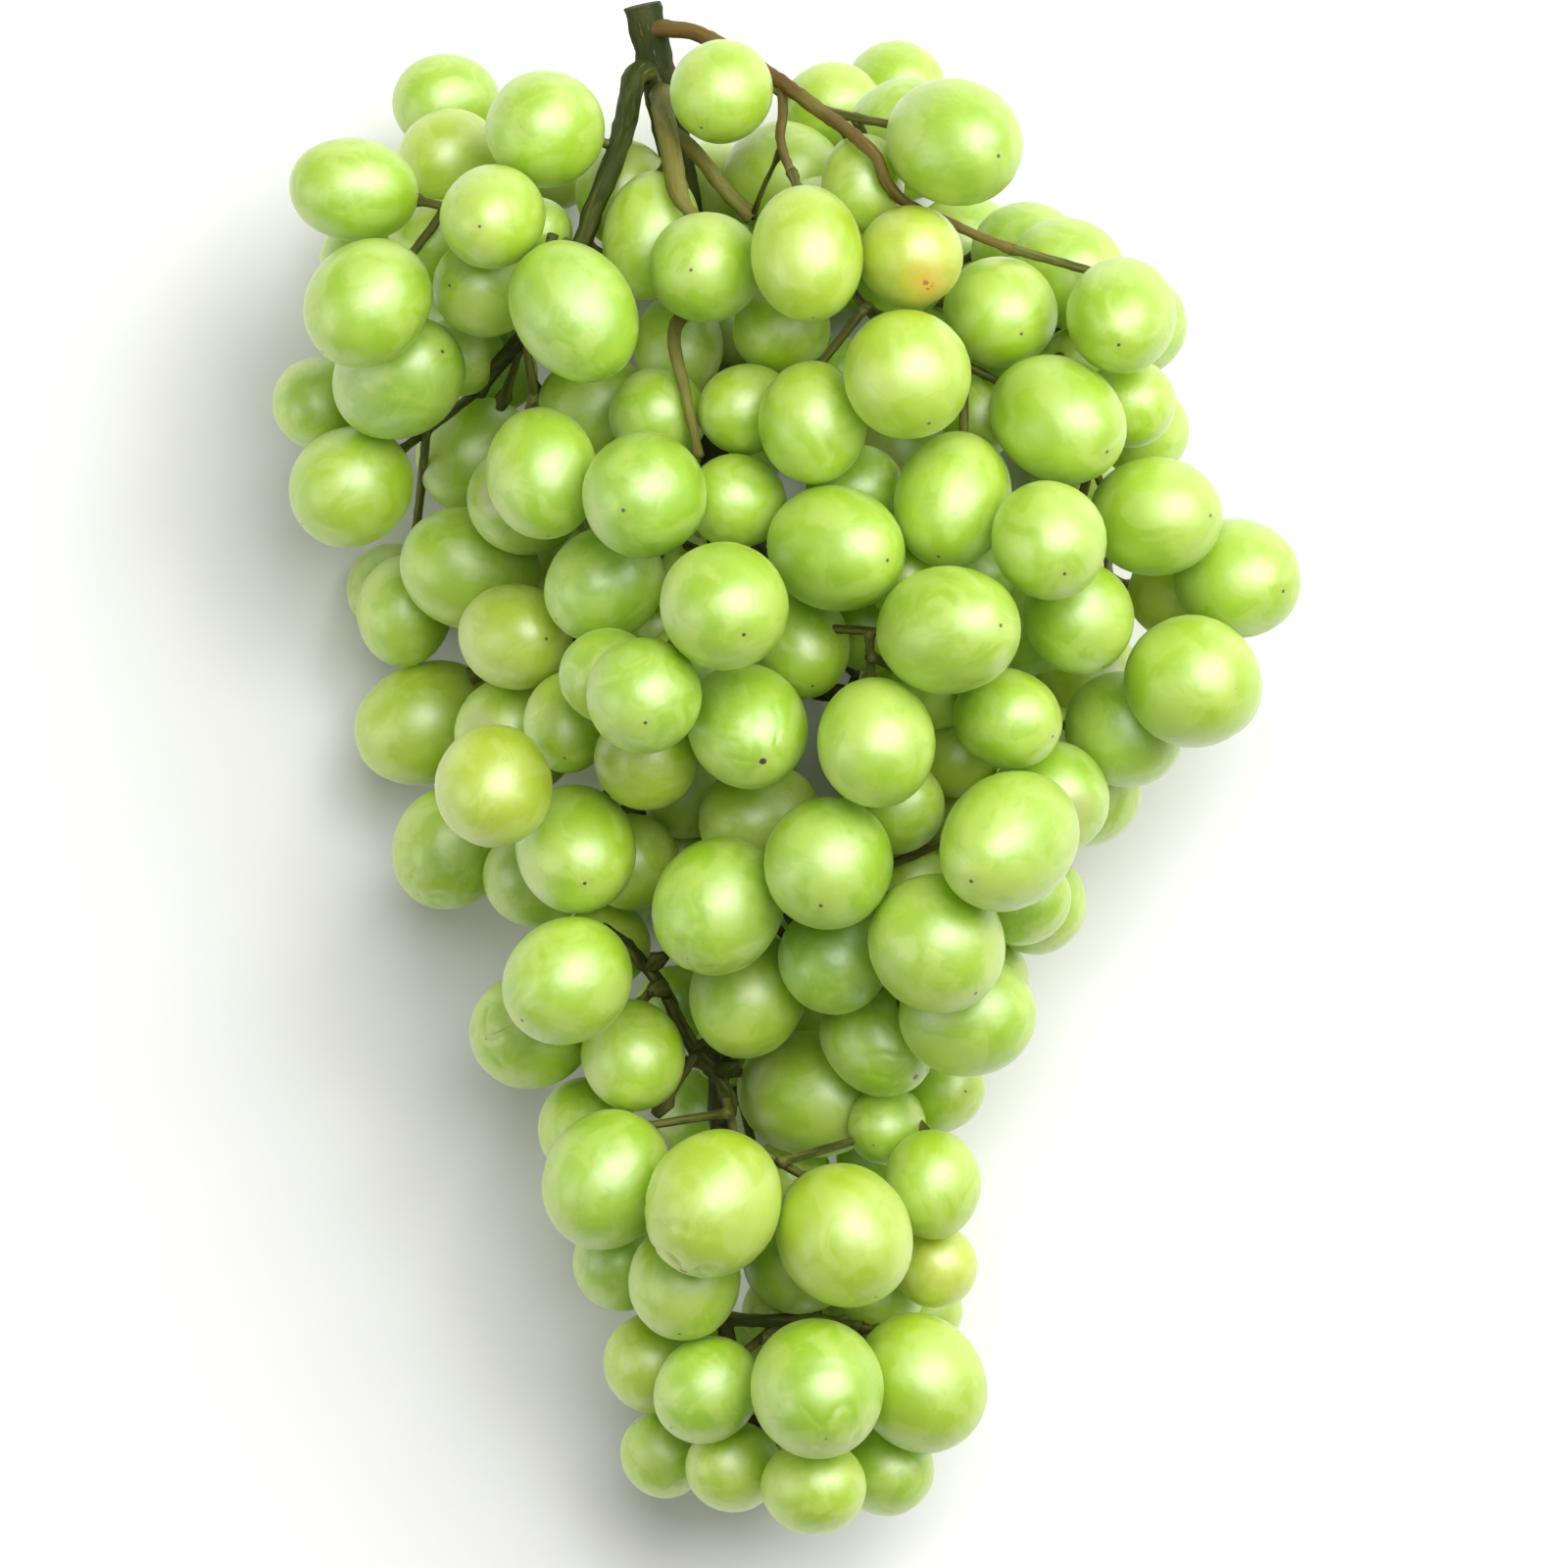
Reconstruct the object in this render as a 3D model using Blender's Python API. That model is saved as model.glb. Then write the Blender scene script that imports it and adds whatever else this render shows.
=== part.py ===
"""A bunch of green table grapes lying on its back, stem end toward +Y, in metres with Z up."""
import math

import bmesh
import bpy
import numpy as np

# width of the usual berry, real and in the photograph's pixels, which sets the size of the bunch
USUAL_BERRY_WIDTH = 0.018
USUAL_BERRY_PIXELS = 120.0
PIXEL = USUAL_BERRY_WIDTH / USUAL_BERRY_PIXELS
# pixel that lies on the vertical line through the origin of the frame
MIDDLE_PIXEL = 800.0

# Berries seen in the photograph, by how far forward they lie, the deepest first.
# Each row: pixels across, pixels down, half length, half width, turn of the length
# in degrees against the clock, and the style scar's pixels where it is seen.
SEEN_BERRIES = {
    1: [
        (374, 262, 50, 48, 0), (321, 408, 48, 47, 90), (395, 598, 50, 48, 0),
        (457, 866, 66, 60, 55), (500, 375, 46, 40, 0), (608, 415, 62, 55, 0), (728, 186, 50, 48, 0),
        (850, 104, 52, 46, 0), (1158, 327, 57, 55, 0), (1168, 438, 48, 48, 90), (1236, 702, 55, 54, 0),
        (1201, 604, 48, 46, 0), (888, 640, 46, 46, 0), (930, 905, 46, 42, 0), (1060, 924, 52, 50, 60),
        (1006, 1000, 46, 46, 0), (688, 1030, 42, 42, 0), (597, 1155, 54, 50, 90), (541, 1053, 64, 60, 10),
        (633, 1292, 51, 50, 0), (735, 1398, 48, 46, 0), (676, 1492, 46, 44, 0, 645, 1459),
        (792, 1345, 38, 36, 90), (893, 1325, 52, 46, 0), (908, 1186, 54, 50, 0), (546, 895, 55, 53, 0),
        (618, 965, 45, 45, 0), (693, 870, 48, 45, 90), (700, 812, 45, 45, 0), (858, 385, 42, 42, 0),
        (1000, 425, 42, 42, 0), (1003, 368, 46, 42, 0), (1105, 372, 45, 42, 0), (985, 588, 50, 45, 0),
        (925, 592, 42, 42, 0), (1078, 765, 48, 45, 0), (975, 772, 45, 42, 0), (952, 702, 44, 42, 0),
        (825, 1040, 42, 40, 0), (712, 1142, 45, 45, 0), (745, 1078, 40, 36, 0), (808, 1205, 42, 42, 0),
        (522, 735, 40, 40, 0), (575, 575, 42, 42, 0), (690, 582, 40, 40, 0), (672, 640, 40, 38, 0),
        (942, 1345, 43, 42, 0), (1052, 640, 50, 48, 0), (915, 82, 52, 50, 0),
        (748, 1502, 50, 47, 0), (830, 1520, 54, 50, 0), (905, 1506, 50, 48, 0),
    ],
    2: [
        (458, 160, 55, 52, 0), (452, 98, 56, 51, 0), (357, 495, 66, 61, 60, 303, 536),
        (484, 462, 65, 62, 0), (672, 425, 50, 50, 0), (692, 352, 55, 46, 90), (432, 737, 79, 64, 18),
        (643, 880, 50, 50, 0), (645, 1078, 58, 53, 100), (668, 1396, 55, 53, 0), (816, 1289, 58, 56, 0),
        (955, 1295, 44, 43, 0), (955, 1112, 53, 48, 0, 987, 1116), (1043, 918, 50, 46, 20),
        (1108, 808, 59, 57, 0), (1052, 255, 60, 54, -10), (1152, 412, 47, 46, 0), (800, 180, 62, 60, 0),
        (838, 232, 52, 51, 0), (915, 280, 52, 48, 0), (797, 337, 50, 48, 0), (872, 500, 50, 46, 0),
    ],
    3: [
        (362, 195, 67, 53, -8), (445, 248, 50, 46, 0), (407, 385, 70, 62, 20, 453, 360),
        (546, 236, 38, 36, 0), (408, 621, 58, 50, 100, 401, 678), (588, 866, 72, 62, 95, 598, 901),
        (580, 1000, 69, 63, 25, 534, 1040), (698, 1308, 62, 57, 20, 693, 1363),
        (721, 1421, 58, 53, 80, 684, 1459), (952, 1210, 57, 50, 90), (827, 1119, 78, 66, -18, 886, 1133),
        (1147, 744, 62, 59, -30), (1099, 631, 59, 56, -20, 1127, 687), (1262, 590, 66, 61, -10, 1308, 604),
        (1090, 278, 62, 57, -20), (880, 192, 52, 42, 90), (636, 195, 56, 50, 90), (912, 822, 52, 50, 0),
    ],
    4: [
        (496, 294, 54, 51, 0, 460, 294), (557, 134, 61, 60, 0), (477, 578, 74, 63, -15),
        (619, 1204, 74, 65, 65), (940, 1414, 75, 66, -60), (895, 1062, 63, 54, -10, 935, 1100),
        (763, 1016, 66, 60, 70), (1027, 734, 56, 51, -10, 1072, 752), (1178, 528, 68, 61, -8, 1233, 528),
        (762, 419, 50, 46, 20), (816, 656, 58, 51, 80, 829, 701), (776, 836, 64, 58, 10),
        (737, 96, 53, 52, 0, 716, 135),
    ],
    5: [
        (378, 312, 70, 61, 50, 332, 363), (555, 485, 68, 57, 95, 562, 550),
        (525, 649, 66, 55, 95, 558, 652), (728, 1227, 79, 68, 85, 694, 1303), (834, 1417, 72, 68, 100),
        (861, 1260, 75, 69, 100, 894, 1323), (850, 979, 58, 55, 0, 903, 1011), (987, 1035, 70, 63, 0),
        (1020, 320, 59, 57, 0, 1041, 344), (752, 513, 51, 48, 0), (972, 152, 79, 64, -10, 1016, 169),
        (665, 241, 68, 50, 80),
    ],
    6: [
        (505, 226, 55, 53, 0, 493, 238), (617, 597, 64, 57, 30, 568, 633), (506, 802, 62, 60, 90),
        (580, 737, 57, 46, 100, 577, 774), (733, 924, 72, 66, 60), (955, 962, 72, 69, 110, 994, 1012),
        (1027, 858, 82, 67, -35, 988, 898), (1215, 696, 70, 67, -10), (1077, 430, 73, 62, -10, 1127, 465),
        (928, 267, 53, 52, 0), (829, 434, 63, 55, 95), (971, 512, 70, 60, 93, 956, 571),
    ],
    7: [
        (588, 323, 77, 61, 110, 629, 387), (622, 690, 50, 48, 0), (660, 774, 53, 53, 0),
        (845, 880, 67, 66, 90, 837, 923), (1142, 325, 67, 56, -15, 1138, 357),
        (853, 562, 71, 63, 0, 905, 575), (966, 645, 76, 65, -5, 1018, 641), (721, 277, 69, 57, 72, 706, 282),
    ],
    8: [
        (763, 741, 66, 60, 100, 779, 778), (1067, 554, 61, 58, 90, 1082, 589),
        (924, 387, 66, 64, 90, 946, 438), (893, 758, 66, 60, 95), (823, 265, 70, 57, 97, 829, 332),
    ],
    9: [(659, 711, 59, 58, 0, 661, 739), (659, 508, 64, 63, 0, 638, 525)],
    10: [(740, 621, 66, 64, 0, 760, 651)],
}

# half width and middle of the bunch down the photograph, in pixels, and its half depth in metres
OUTLINE = [
    (0, 300, 720, 0.034), (200, 420, 715, 0.040), (400, 480, 750, 0.043), (600, 490, 820, 0.043),
    (800, 420, 770, 0.040), (1000, 300, 780, 0.035), (1200, 235, 775, 0.031), (1400, 215, 810, 0.028),
    (1560, 150, 820, 0.022),
]

# length of a berry against its width, where the photograph looks at its end, and its least and most
USUAL_STRETCH = 1.13
LEAST_STRETCH = 1.05
MOST_STRETCH = 1.30
# most that a seen berry's length leans out of the vertical, as a sine
MOST_LEAN = 0.97
# how strongly a berry's tip hangs down instead of outward, in pixels of outward distance
HANG_DOWN = 60.0

# seed of every random draw
SEED = 41
# gap kept between two nodes, and between two berries
CLEAR = 0.00035
BERRY_GAP = 0.0002
# a berry's stem: its radius, how far it leaves the berry straight, and how deep it sits in it
PEDICEL_RADIUS = 0.0007
PEDICEL_OUT = 0.0016
PEDICEL_SINK = 0.0024
# a berry's stem also runs this far into the stem that carries it
PEDICEL_ROOT = 0.0003
# the lowest berries are pressed to this share of their half height
TABLE_PRESS = 0.90

SKIN_COLOUR = (0.38, 0.56, 0.10)
SKIN_ROUGHNESS = 0.35
BARK_COLOUR = (0.20, 0.17, 0.06)
BARK_ROUGHNESS = 0.75

# berries of the back: half width, stretch, spread of their size, and the lattice that they start on
HIDDEN_WIDTH = 0.0088
HIDDEN_STRETCH = 1.12
HIDDEN_SPREAD = 0.06
LAYER_STEP = 0.0190
LAYER_RISE = 0.0165
LAYERS = 4
LAYER_ROWS = 7
LAYER_SHAKE = 0.0012
# the deepest that a back berry may start in something, and end in it
START_CROWDING = 0.0042
END_CROWDING = 0.0002
# how far the back of the bunch lies below the height that mirrors its front
BACK_ROUNDING = 1.10
BACK_SPARE = 0.012
# deep inside means higher than this, within this share of the half width of the bunch,
# and between these two pixels down the photograph
INNER_HEIGHT = 0.014
INNER_SHARE = 0.75
INNER_FROM = 150.0
INNER_TO = 1380.0
# a seen berry of the deepest rank counts as deep inside below this half width
SMALL_DEEP_WIDTH = 0.0076

# longest stem of a berry, and the least cosine between it and the berry's stem end
MAX_REACH = 0.034
LEAST_LEAVING = 0.35
# points of the stems that are tried for a berry, and the most berries on a spray
TRIES = 16
MOST_ON_SPRAY = 22
# spacing of the points that a stem is bent by, how many of them it keeps, and its least radius
STEM_STEP = 0.005
STEM_THINNING = 2
STEM_LEAST = 0.0006
# spacing of the points where berries' stems may grow, and where clearances are measured
ANCHOR_STEP = 0.0015
SAMPLE_STEP = 0.0006

def to_frame(across, down):
    return (across - MIDDLE_PIXEL) * PIXEL, (MIDDLE_PIXEL - down) * PIXEL


def outline_at(down):
    rows = np.array(OUTLINE, float)
    half = np.interp(down, rows[:, 0], rows[:, 1])
    middle = np.interp(down, rows[:, 0], rows[:, 2])
    depth = np.interp(down, rows[:, 0], rows[:, 3])
    return half, middle, depth


def dome(across, down):
    half, middle, depth = outline_at(down)
    share = min(1.0, abs(across - middle) / half)
    return depth * math.sqrt(1.0 - share * share), depth


def seen_shape(row):
    """A seen berry's half width, half length and direction, from its outline and its tip."""
    across, down, half_long, half_wide, turn = row[:5]
    wide = half_wide * PIXEL
    seen_long = max(half_long * PIXEL, wide * 1.001)
    if len(row) > 5:
        return wide, *from_tip(row, wide, seen_long)
    long = max(seen_long, USUAL_STRETCH * wide)
    lean = math.sqrt((seen_long ** 2 - wide ** 2) / (long ** 2 - wide ** 2))
    lean = min(lean, MOST_LEAN)
    right, up = math.cos(math.radians(turn)), math.sin(math.radians(turn))
    middle = outline_at(down)[1]
    if (across - middle) * right - HANG_DOWN * up < 0:
        right, up = -right, -up
    return wide, long, (right * lean, up * lean, math.sqrt(1.0 - lean * lean))


def from_tip(row, wide, seen_long):
    """Half length and direction of a berry whose style scar is seen."""
    right = (row[5] - row[0]) * PIXEL
    up = (row[1] - row[6]) * PIXEL
    shown = math.hypot(right, up)
    spare = shown ** 2 + wide ** 2 - seen_long ** 2
    long = MOST_STRETCH * wide
    if spare > 1e-9:
        long = wide * shown / math.sqrt(spare)
    long = min(max(long, LEAST_STRETCH * wide), MOST_STRETCH * wide)
    lean = min(MOST_LEAN, shown / long)
    return long, (right / shown * lean, up / shown * lean, math.sqrt(1.0 - lean * lean))


# Path of the main stem: pixels across, pixels down and height in metres.
MAIN_STEM = [
    (655, 2, 0.044), (662, 60, 0.045), (676, 120, 0.046), (690, 180, 0.044), (708, 245, 0.039),
    (724, 310, 0.034), (728, 365, 0.032), (735, 500, 0.031), (742, 650, 0.030), (748, 800, 0.029),
    (750, 950, 0.028), (744, 1050, 0.028), (738, 1100, 0.0275), (738, 1150, 0.027), (756, 1200, 0.0265),
    (766, 1285, 0.028), (772, 1320, 0.033), (780, 1350, 0.035), (775, 1383, 0.034), (772, 1440, 0.026),
    (778, 1500, 0.022),
]
# its radius at the cut end and at the tip
MAIN_RADIUS = (0.0029, 0.0011)

# Side stems: pixels across, pixels down and height in metres, from the carrying stem outward.
SIDE_STEMS = {
    "left_shoulder": [
        (657, 38, 0.0445), (650, 66, 0.0455), (643, 96, 0.0475), (635, 135, 0.0525), (620, 180, 0.0565),
        (605, 215, 0.0562), (595, 245, 0.056), (566, 295, 0.056), (535, 340, 0.052), (510, 368, 0.046),
        (486, 396, 0.040),
    ],
    "left_wing": [(716, 380, 0.030), (620, 430, 0.028), (520, 455, 0.026), (430, 500, 0.024)],
    "left_side": [(724, 590, 0.030), (630, 640, 0.028), (540, 660, 0.026), (450, 700, 0.024)],
    "left_lower": [(736, 830, 0.028), (650, 860, 0.027), (570, 880, 0.026), (500, 870, 0.024)],
    "left_tail": [
        (739, 1152, 0.0275), (742, 1145, 0.0315), (745, 1130, 0.0345), (738, 1112, 0.036), (728, 1098, 0.0368),
        (709, 1073, 0.038), (690, 1040, 0.039), (681, 1018, 0.040), (660, 990, 0.0425), (640, 966, 0.0448),
        (612, 948, 0.0455),
    ],
    "tail_left": [(752, 1180, 0.026), (690, 1230, 0.025), (650, 1280, 0.023)],
    "tail_end": [(772, 1418, 0.027), (788, 1450, 0.026), (800, 1488, 0.026)],
    "tail_right": [
        (780, 1352, 0.035), (800, 1351, 0.0335), (820, 1350, 0.033), (850, 1354, 0.0335), (880, 1360, 0.0345),
    ],
    "right_tail": [(762, 1100, 0.027), (830, 1130, 0.027), (900, 1170, 0.025)],
    "right_lower": [(760, 860, 0.029), (850, 930, 0.029), (950, 950, 0.027), (1010, 940, 0.025)],
    "right_side": [(752, 690, 0.030), (850, 720, 0.030), (960, 740, 0.028), (1060, 730, 0.026)],
    "right_wing": [
        (748, 540, 0.031), (850, 560, 0.030), (960, 570, 0.029), (1080, 580, 0.027), (1160, 590, 0.026),
    ],
    "right_low_shoulder": [(740, 380, 0.032), (850, 400, 0.031), (960, 410, 0.030), (1060, 410, 0.028)],
    "right_edge": [(738, 268, 0.034), (850, 270, 0.032), (960, 290, 0.030), (1070, 320, 0.028)],
    "right_shoulder": [
        (657, 22, 0.045), (715, 34, 0.050), (775, 70, 0.058), (818, 102, 0.066), (840, 120, 0.0705),
        (862, 137, 0.0768), (880, 153, 0.0805), (894, 168, 0.0818), (902, 190, 0.0812), (912, 203, 0.079),
        (925, 213, 0.0765), (945, 223, 0.0742), (967, 231, 0.072), (1000, 245, 0.068), (1030, 256, 0.0645),
    ],
    "front": [
        (675, 92, 0.044), (676, 106, 0.052), (679, 128, 0.058), (688, 175, 0.0645), (693, 200, 0.0674),
        (702, 216, 0.068), (714, 230, 0.0665), (722, 246, 0.063), (724, 268, 0.061), (718, 292, 0.0605),
        (705, 314, 0.062),
        (691, 332, 0.064), (688, 348, 0.0652), (692, 372, 0.0668), (698, 395, 0.068), (703, 420, 0.069),
        (709, 445, 0.068), (713, 467, 0.0665),
    ],
    "middle_front": [(748, 590, 0.034), (752, 580, 0.046), (780, 560, 0.058)],
    "low_front": [(754, 880, 0.032), (770, 870, 0.042), (790, 900, 0.052)],
    "front_right": [
        (680, 134, 0.059), (698, 145, 0.0575), (720, 168, 0.056), (745, 200, 0.056), (768, 222, 0.056),
    ],
    "right_fork": [
        (798, 87, 0.0622), (799, 118, 0.0625), (796, 138, 0.0645), (800, 162, 0.0705), (808, 182, 0.0785),
    ],
}
# side stems that the photograph shows, which keep their path
SEEN_STEMS = (
    "left_shoulder", "left_tail", "tail_right", "right_shoulder", "right_fork", "front", "front_right",
)
# forks, each of which belongs to the side stem that it grows from
FORKS = {"front_right": "front", "right_fork": "right_shoulder"}
# radius of a side stem at its foot and at its tip
SIDE_RADIUS = (0.0014, 0.0009)
SIDE_RADII = {
    "left_shoulder": (0.0017, 0.0010), "front": (0.0016, 0.0006), "front_right": (0.0011, 0.0010),
    "right_shoulder": (0.0011, 0.0006), "right_fork": (0.0007, 0.0006),
    "left_tail": (0.0011, 0.0008), "tail_right": (0.0010, 0.0008),
}


class Berries:
    """The berries' middles, half widths, half lengths, directions and forward order."""

    def __init__(self, middles, widths, lengths, ways, order):
        self.middles = np.array(middles, float)
        self.widths = np.array(widths, float)
        self.lengths = np.array(lengths, float)
        self.ways = np.array(ways, float)
        self.order = np.array(order, float)

    def reach(self, index, way):
        spare = self.lengths[index] ** 2 - self.widths[index] ** 2
        along = np.sum(self.ways[index] * way, axis=1)
        return np.sqrt(self.widths[index] ** 2 + spare * along ** 2)

    def heights(self):
        spare = self.lengths ** 2 - self.widths ** 2
        return np.sqrt(self.widths ** 2 + spare * self.ways[:, 2] ** 2)

    def joined(self, other):
        return Berries(
            np.vstack([self.middles, other.middles]), np.concatenate([self.widths, other.widths]),
            np.concatenate([self.lengths, other.lengths]), np.vstack([self.ways, other.ways]),
            np.concatenate([self.order, other.order]))

    def without(self, indexes):
        mask = np.ones(len(self.widths), bool)
        mask[list(indexes)] = False
        return self.kept(mask)

    def kept(self, mask):
        return Berries(self.middles[mask], self.widths[mask], self.lengths[mask], self.ways[mask],
                       self.order[mask])

    def depth_at(self, points, margin):
        """How far each point lies from each berry: below 1 is inside the berry grown by the margin."""
        offset = points[:, None, :] - self.middles[None, :, :]
        along = np.sum(offset * self.ways[None, :, :], axis=2)
        across = np.sum(offset * offset, axis=2) - along ** 2
        wide = self.widths + margin
        long = self.lengths + margin
        return np.sqrt(np.maximum(across, 0.0) / wide ** 2 + along ** 2 / long ** 2)


def seen_berries():
    middles = []
    widths = []
    lengths = []
    ways = []
    order = []
    for rank in sorted(SEEN_BERRIES):
        for row in SEEN_BERRIES[rank]:
            x, y = to_frame(row[0], row[1])
            wide, long, way = seen_shape(row)
            rise, depth = dome(row[0], row[1])
            middles.append((x, y, depth + rise - wide))
            widths.append(wide)
            lengths.append(long)
            ways.append(way)
            order.append(rank)
    return Berries(middles, widths, lengths, ways, order)


def settle_seen(berries, rounds=2600, calm=1400, pull=0.02, front_share=0.35):
    """Moves the seen berries up or down only, until each lies clear behind those that cover it."""
    count = len(berries.order)
    wanted = berries.middles[:, 2].copy()
    low = berries.heights() * TABLE_PRESS
    front, back, flat = covering_pairs(berries)
    ordered = berries.order[front] != berries.order[back]
    for step in range(rounds):
        offset = berries.middles[front] - berries.middles[back]
        way = offset / np.linalg.norm(offset, axis=1)[:, None]
        need = berries.reach(front, way) + berries.reach(back, way) + BERRY_GAP
        side = np.where(ordered, 1.0, np.sign(offset[:, 2] + 1e-12))
        rise = np.sqrt(np.maximum(need ** 2 - flat ** 2, 0.0))
        lack = np.where(need > flat, np.maximum(rise - side * offset[:, 2], 0.0), 0.0)
        move = np.zeros(count)
        np.add.at(move, front, side * lack * front_share)
        np.add.at(move, back, -side * lack * (1.0 - front_share))
        touches = np.zeros(count)
        np.add.at(touches, front, lack > 1e-6)
        np.add.at(touches, back, lack > 1e-6)
        berries.middles[:, 2] += move / np.maximum(1.0, touches * 0.6)
        if step < rounds - calm:
            berries.middles[:, 2] += pull * (wanted - berries.middles[:, 2])
        berries.middles[:, 2] = np.maximum(berries.middles[:, 2], low)


def covering_pairs(berries):
    """Pairs of berries near each other in the photograph, the front one first, and their gap there."""
    first, second = np.triu_indices(len(berries.order), 1)
    flat = np.linalg.norm(berries.middles[first, :2] - berries.middles[second, :2], axis=1)
    near = flat < berries.lengths[first] + berries.lengths[second]
    first, second, flat = first[near], second[near], flat[near]
    turned = berries.order[second] > berries.order[first]
    return np.where(turned, second, first), np.where(turned, first, second), flat


def nearest_on_path(points, path):
    """The nearest point of a path, as a list of corner points, to each of the points."""
    best = np.full(len(points), 1e9)
    spot = np.zeros((len(points), 3))
    for start, end in zip(path[:-1], path[1:]):
        span = end - start
        share = np.clip(np.dot(points - start, span) / np.dot(span, span), 0.0, 1.0)
        here = start + share[:, None] * span
        gap = np.linalg.norm(points - here, axis=1)
        closer = gap < best
        best = np.where(closer, gap, best)
        spot = np.where(closer[:, None], here, spot)
    return spot, best


def push_out(points, berries, margin):
    """Moves each point that lies in a grown berry to that berry's grown surface."""
    value = berries.depth_at(points, margin)
    worst = np.argmin(value, axis=1)
    least = value[np.arange(len(points)), worst]
    inside = least < 1.0
    middles = berries.middles[worst]
    offset = points - middles
    size = np.linalg.norm(offset, axis=1)
    size = np.maximum(size, 1e-6)
    grown = middles + offset / np.maximum(least, 0.05)[:, None] * 1.002
    return np.where(inside[:, None], grown, points)


def bend_clear(path, berries, margin, rounds=60, pull=0.30, held=1):
    """Bends a path's inner points round the berries and keeps its ends."""
    path = path.copy()
    for _ in range(rounds):
        middle = (path[:-2] + path[2:]) / 2.0
        path[1:-1] += pull * (middle - path[1:-1])
        path[held:-1] = push_out(path[held:-1], berries, margin)
        path[:, 2] = np.maximum(path[:, 2], margin + 0.0005)
    return path


def spread(path, step):
    """Points along a path at about the step's spacing."""
    rows = [path[:1]]
    for start, end in zip(path[:-1], path[1:]):
        parts = max(1, int(math.ceil(np.linalg.norm(end - start) / step)))
        shares = np.arange(1, parts + 1)[:, None] / parts
        rows.append(start + shares * (end - start))
    return np.vstack(rows)


def clear_of_berries(path, berries, margin):
    value = berries.depth_at(spread(path, SAMPLE_STEP), margin)
    return value.min() >= 1.0


def stem_path(rows):
    corners = []
    for row in rows:
        x, y = to_frame(row[0], row[1])
        corners.append((x, y, row[2]))
    return np.array(corners)


def hidden_berries(seen, stems):
    """Berries of the back, on a shaken lattice, kept where the seen ones cover them."""
    draw = np.random.default_rng(SEED)
    middles = []
    for layer in range(LAYERS):
        height = HIDDEN_WIDTH * TABLE_PRESS + layer * LAYER_RISE
        for down in range(-LAYER_ROWS, LAYER_ROWS + 1):
            for across in range(1 - LAYER_ROWS, LAYER_ROWS):
                x = (across + 0.5 * (layer % 2) + 0.5 * (down % 2)) * LAYER_STEP
                y = (down + 0.33 * layer) * LAYER_STEP * 0.866
                shake = draw.uniform(-LAYER_SHAKE, LAYER_SHAKE, 3)
                middles.append((x + shake[0], y + shake[1], height + abs(shake[2])))
    middles = np.array(middles)
    widths = HIDDEN_WIDTH * draw.uniform(1.0 - HIDDEN_SPREAD, 1.0 + HIDDEN_SPREAD, len(middles))
    ways = draw.normal(0.0, 0.6, (len(middles), 3))
    ways[:, 2] = -abs(ways[:, 2]) - 0.7
    ways /= np.linalg.norm(ways, axis=1)[:, None]
    made = Berries(middles, widths, widths * HIDDEN_STRETCH, ways, np.zeros(len(middles)))
    made = made.kept(covered(made, seen) & above_back(made) & (crowding(made, seen, stems) < START_CROWDING))
    made = relax_hidden(made, seen, stems)
    return made.kept(covered(made, seen) & (crowding(made, seen, stems) < END_CROWDING))


def covered(made, seen):
    """True where a berry's disc, seen from above, lies within the seen berries."""
    turns = np.linspace(0.0, 2.0 * math.pi, 16, endpoint=False)
    rim = np.stack([np.cos(turns), np.sin(turns)], axis=1)
    result = np.ones(len(made.widths), bool)
    for way in rim:
        spot = made.middles[:, :2] + way * made.widths[:, None] * 0.92
        gap = np.linalg.norm(spot[:, None, :] - seen.middles[None, :, :2], axis=2)
        result &= (gap < seen.widths[None, :] * 1.06).any(axis=1)
    gap = np.linalg.norm(made.middles[:, None, :2] - seen.middles[None, :, :2], axis=2)
    over = (gap < seen.widths[None, :] * 1.2) & (seen.middles[None, :, 2] > made.middles[:, None, 2])
    return result & over.any(axis=1)


def above_back(made):
    """True where a berry lies above the rounded back of the bunch."""
    result = []
    for middle, wide in zip(made.middles, made.widths):
        across = middle[0] / PIXEL + MIDDLE_PIXEL
        down = MIDDLE_PIXEL - middle[1] / PIXEL
        rise, depth = dome(across, down)
        result.append(middle[2] - wide > depth - rise * BACK_ROUNDING - BACK_SPARE)
    return np.array(result)


def crowding(made, seen, stems):
    """How deep each berry sits in the seen berries or the stems."""
    worst = np.zeros(len(made.widths))
    for index in range(len(made.widths)):
        offset = made.middles[index] - seen.middles
        size = np.linalg.norm(offset, axis=1)
        way = offset / size[:, None]
        mine = made.reach(np.full(len(size), index), way)
        need = mine + seen.reach(np.arange(len(size)), way) + BERRY_GAP
        worst[index] = max(worst[index], (need - size).max())
    for path, radius in stems:
        spot, gap = nearest_on_path(made.middles, path)
        way = (made.middles - spot) / np.maximum(gap, 1e-6)[:, None]
        need = made.reach(np.arange(len(gap)), way) + radius + CLEAR
        worst = np.maximum(worst, need - gap)
    return worst


def relax_hidden(made, seen, stems, rounds=260, most=0.0008):
    """Pushes the back berries off each other, the seen berries, the stems and the table."""
    for _ in range(rounds):
        move = push_apart(made) + push_off_seen(made, seen) + push_off_stems(made, stems)
        made.middles += np.clip(move, -most, most)
        low = made.heights() * TABLE_PRESS
        made.middles[:, 2] = np.maximum(made.middles[:, 2], low)
    return without_overlaps(made)


def overlaps(made, first, second):
    """How far each pair of berries overlaps, and the direction from the second to the first."""
    offset = made.middles[first] - made.middles[second]
    size = np.linalg.norm(offset, axis=1)
    way = offset / size[:, None]
    return made.reach(first, way) + made.reach(second, way) + BERRY_GAP - size, way


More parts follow.
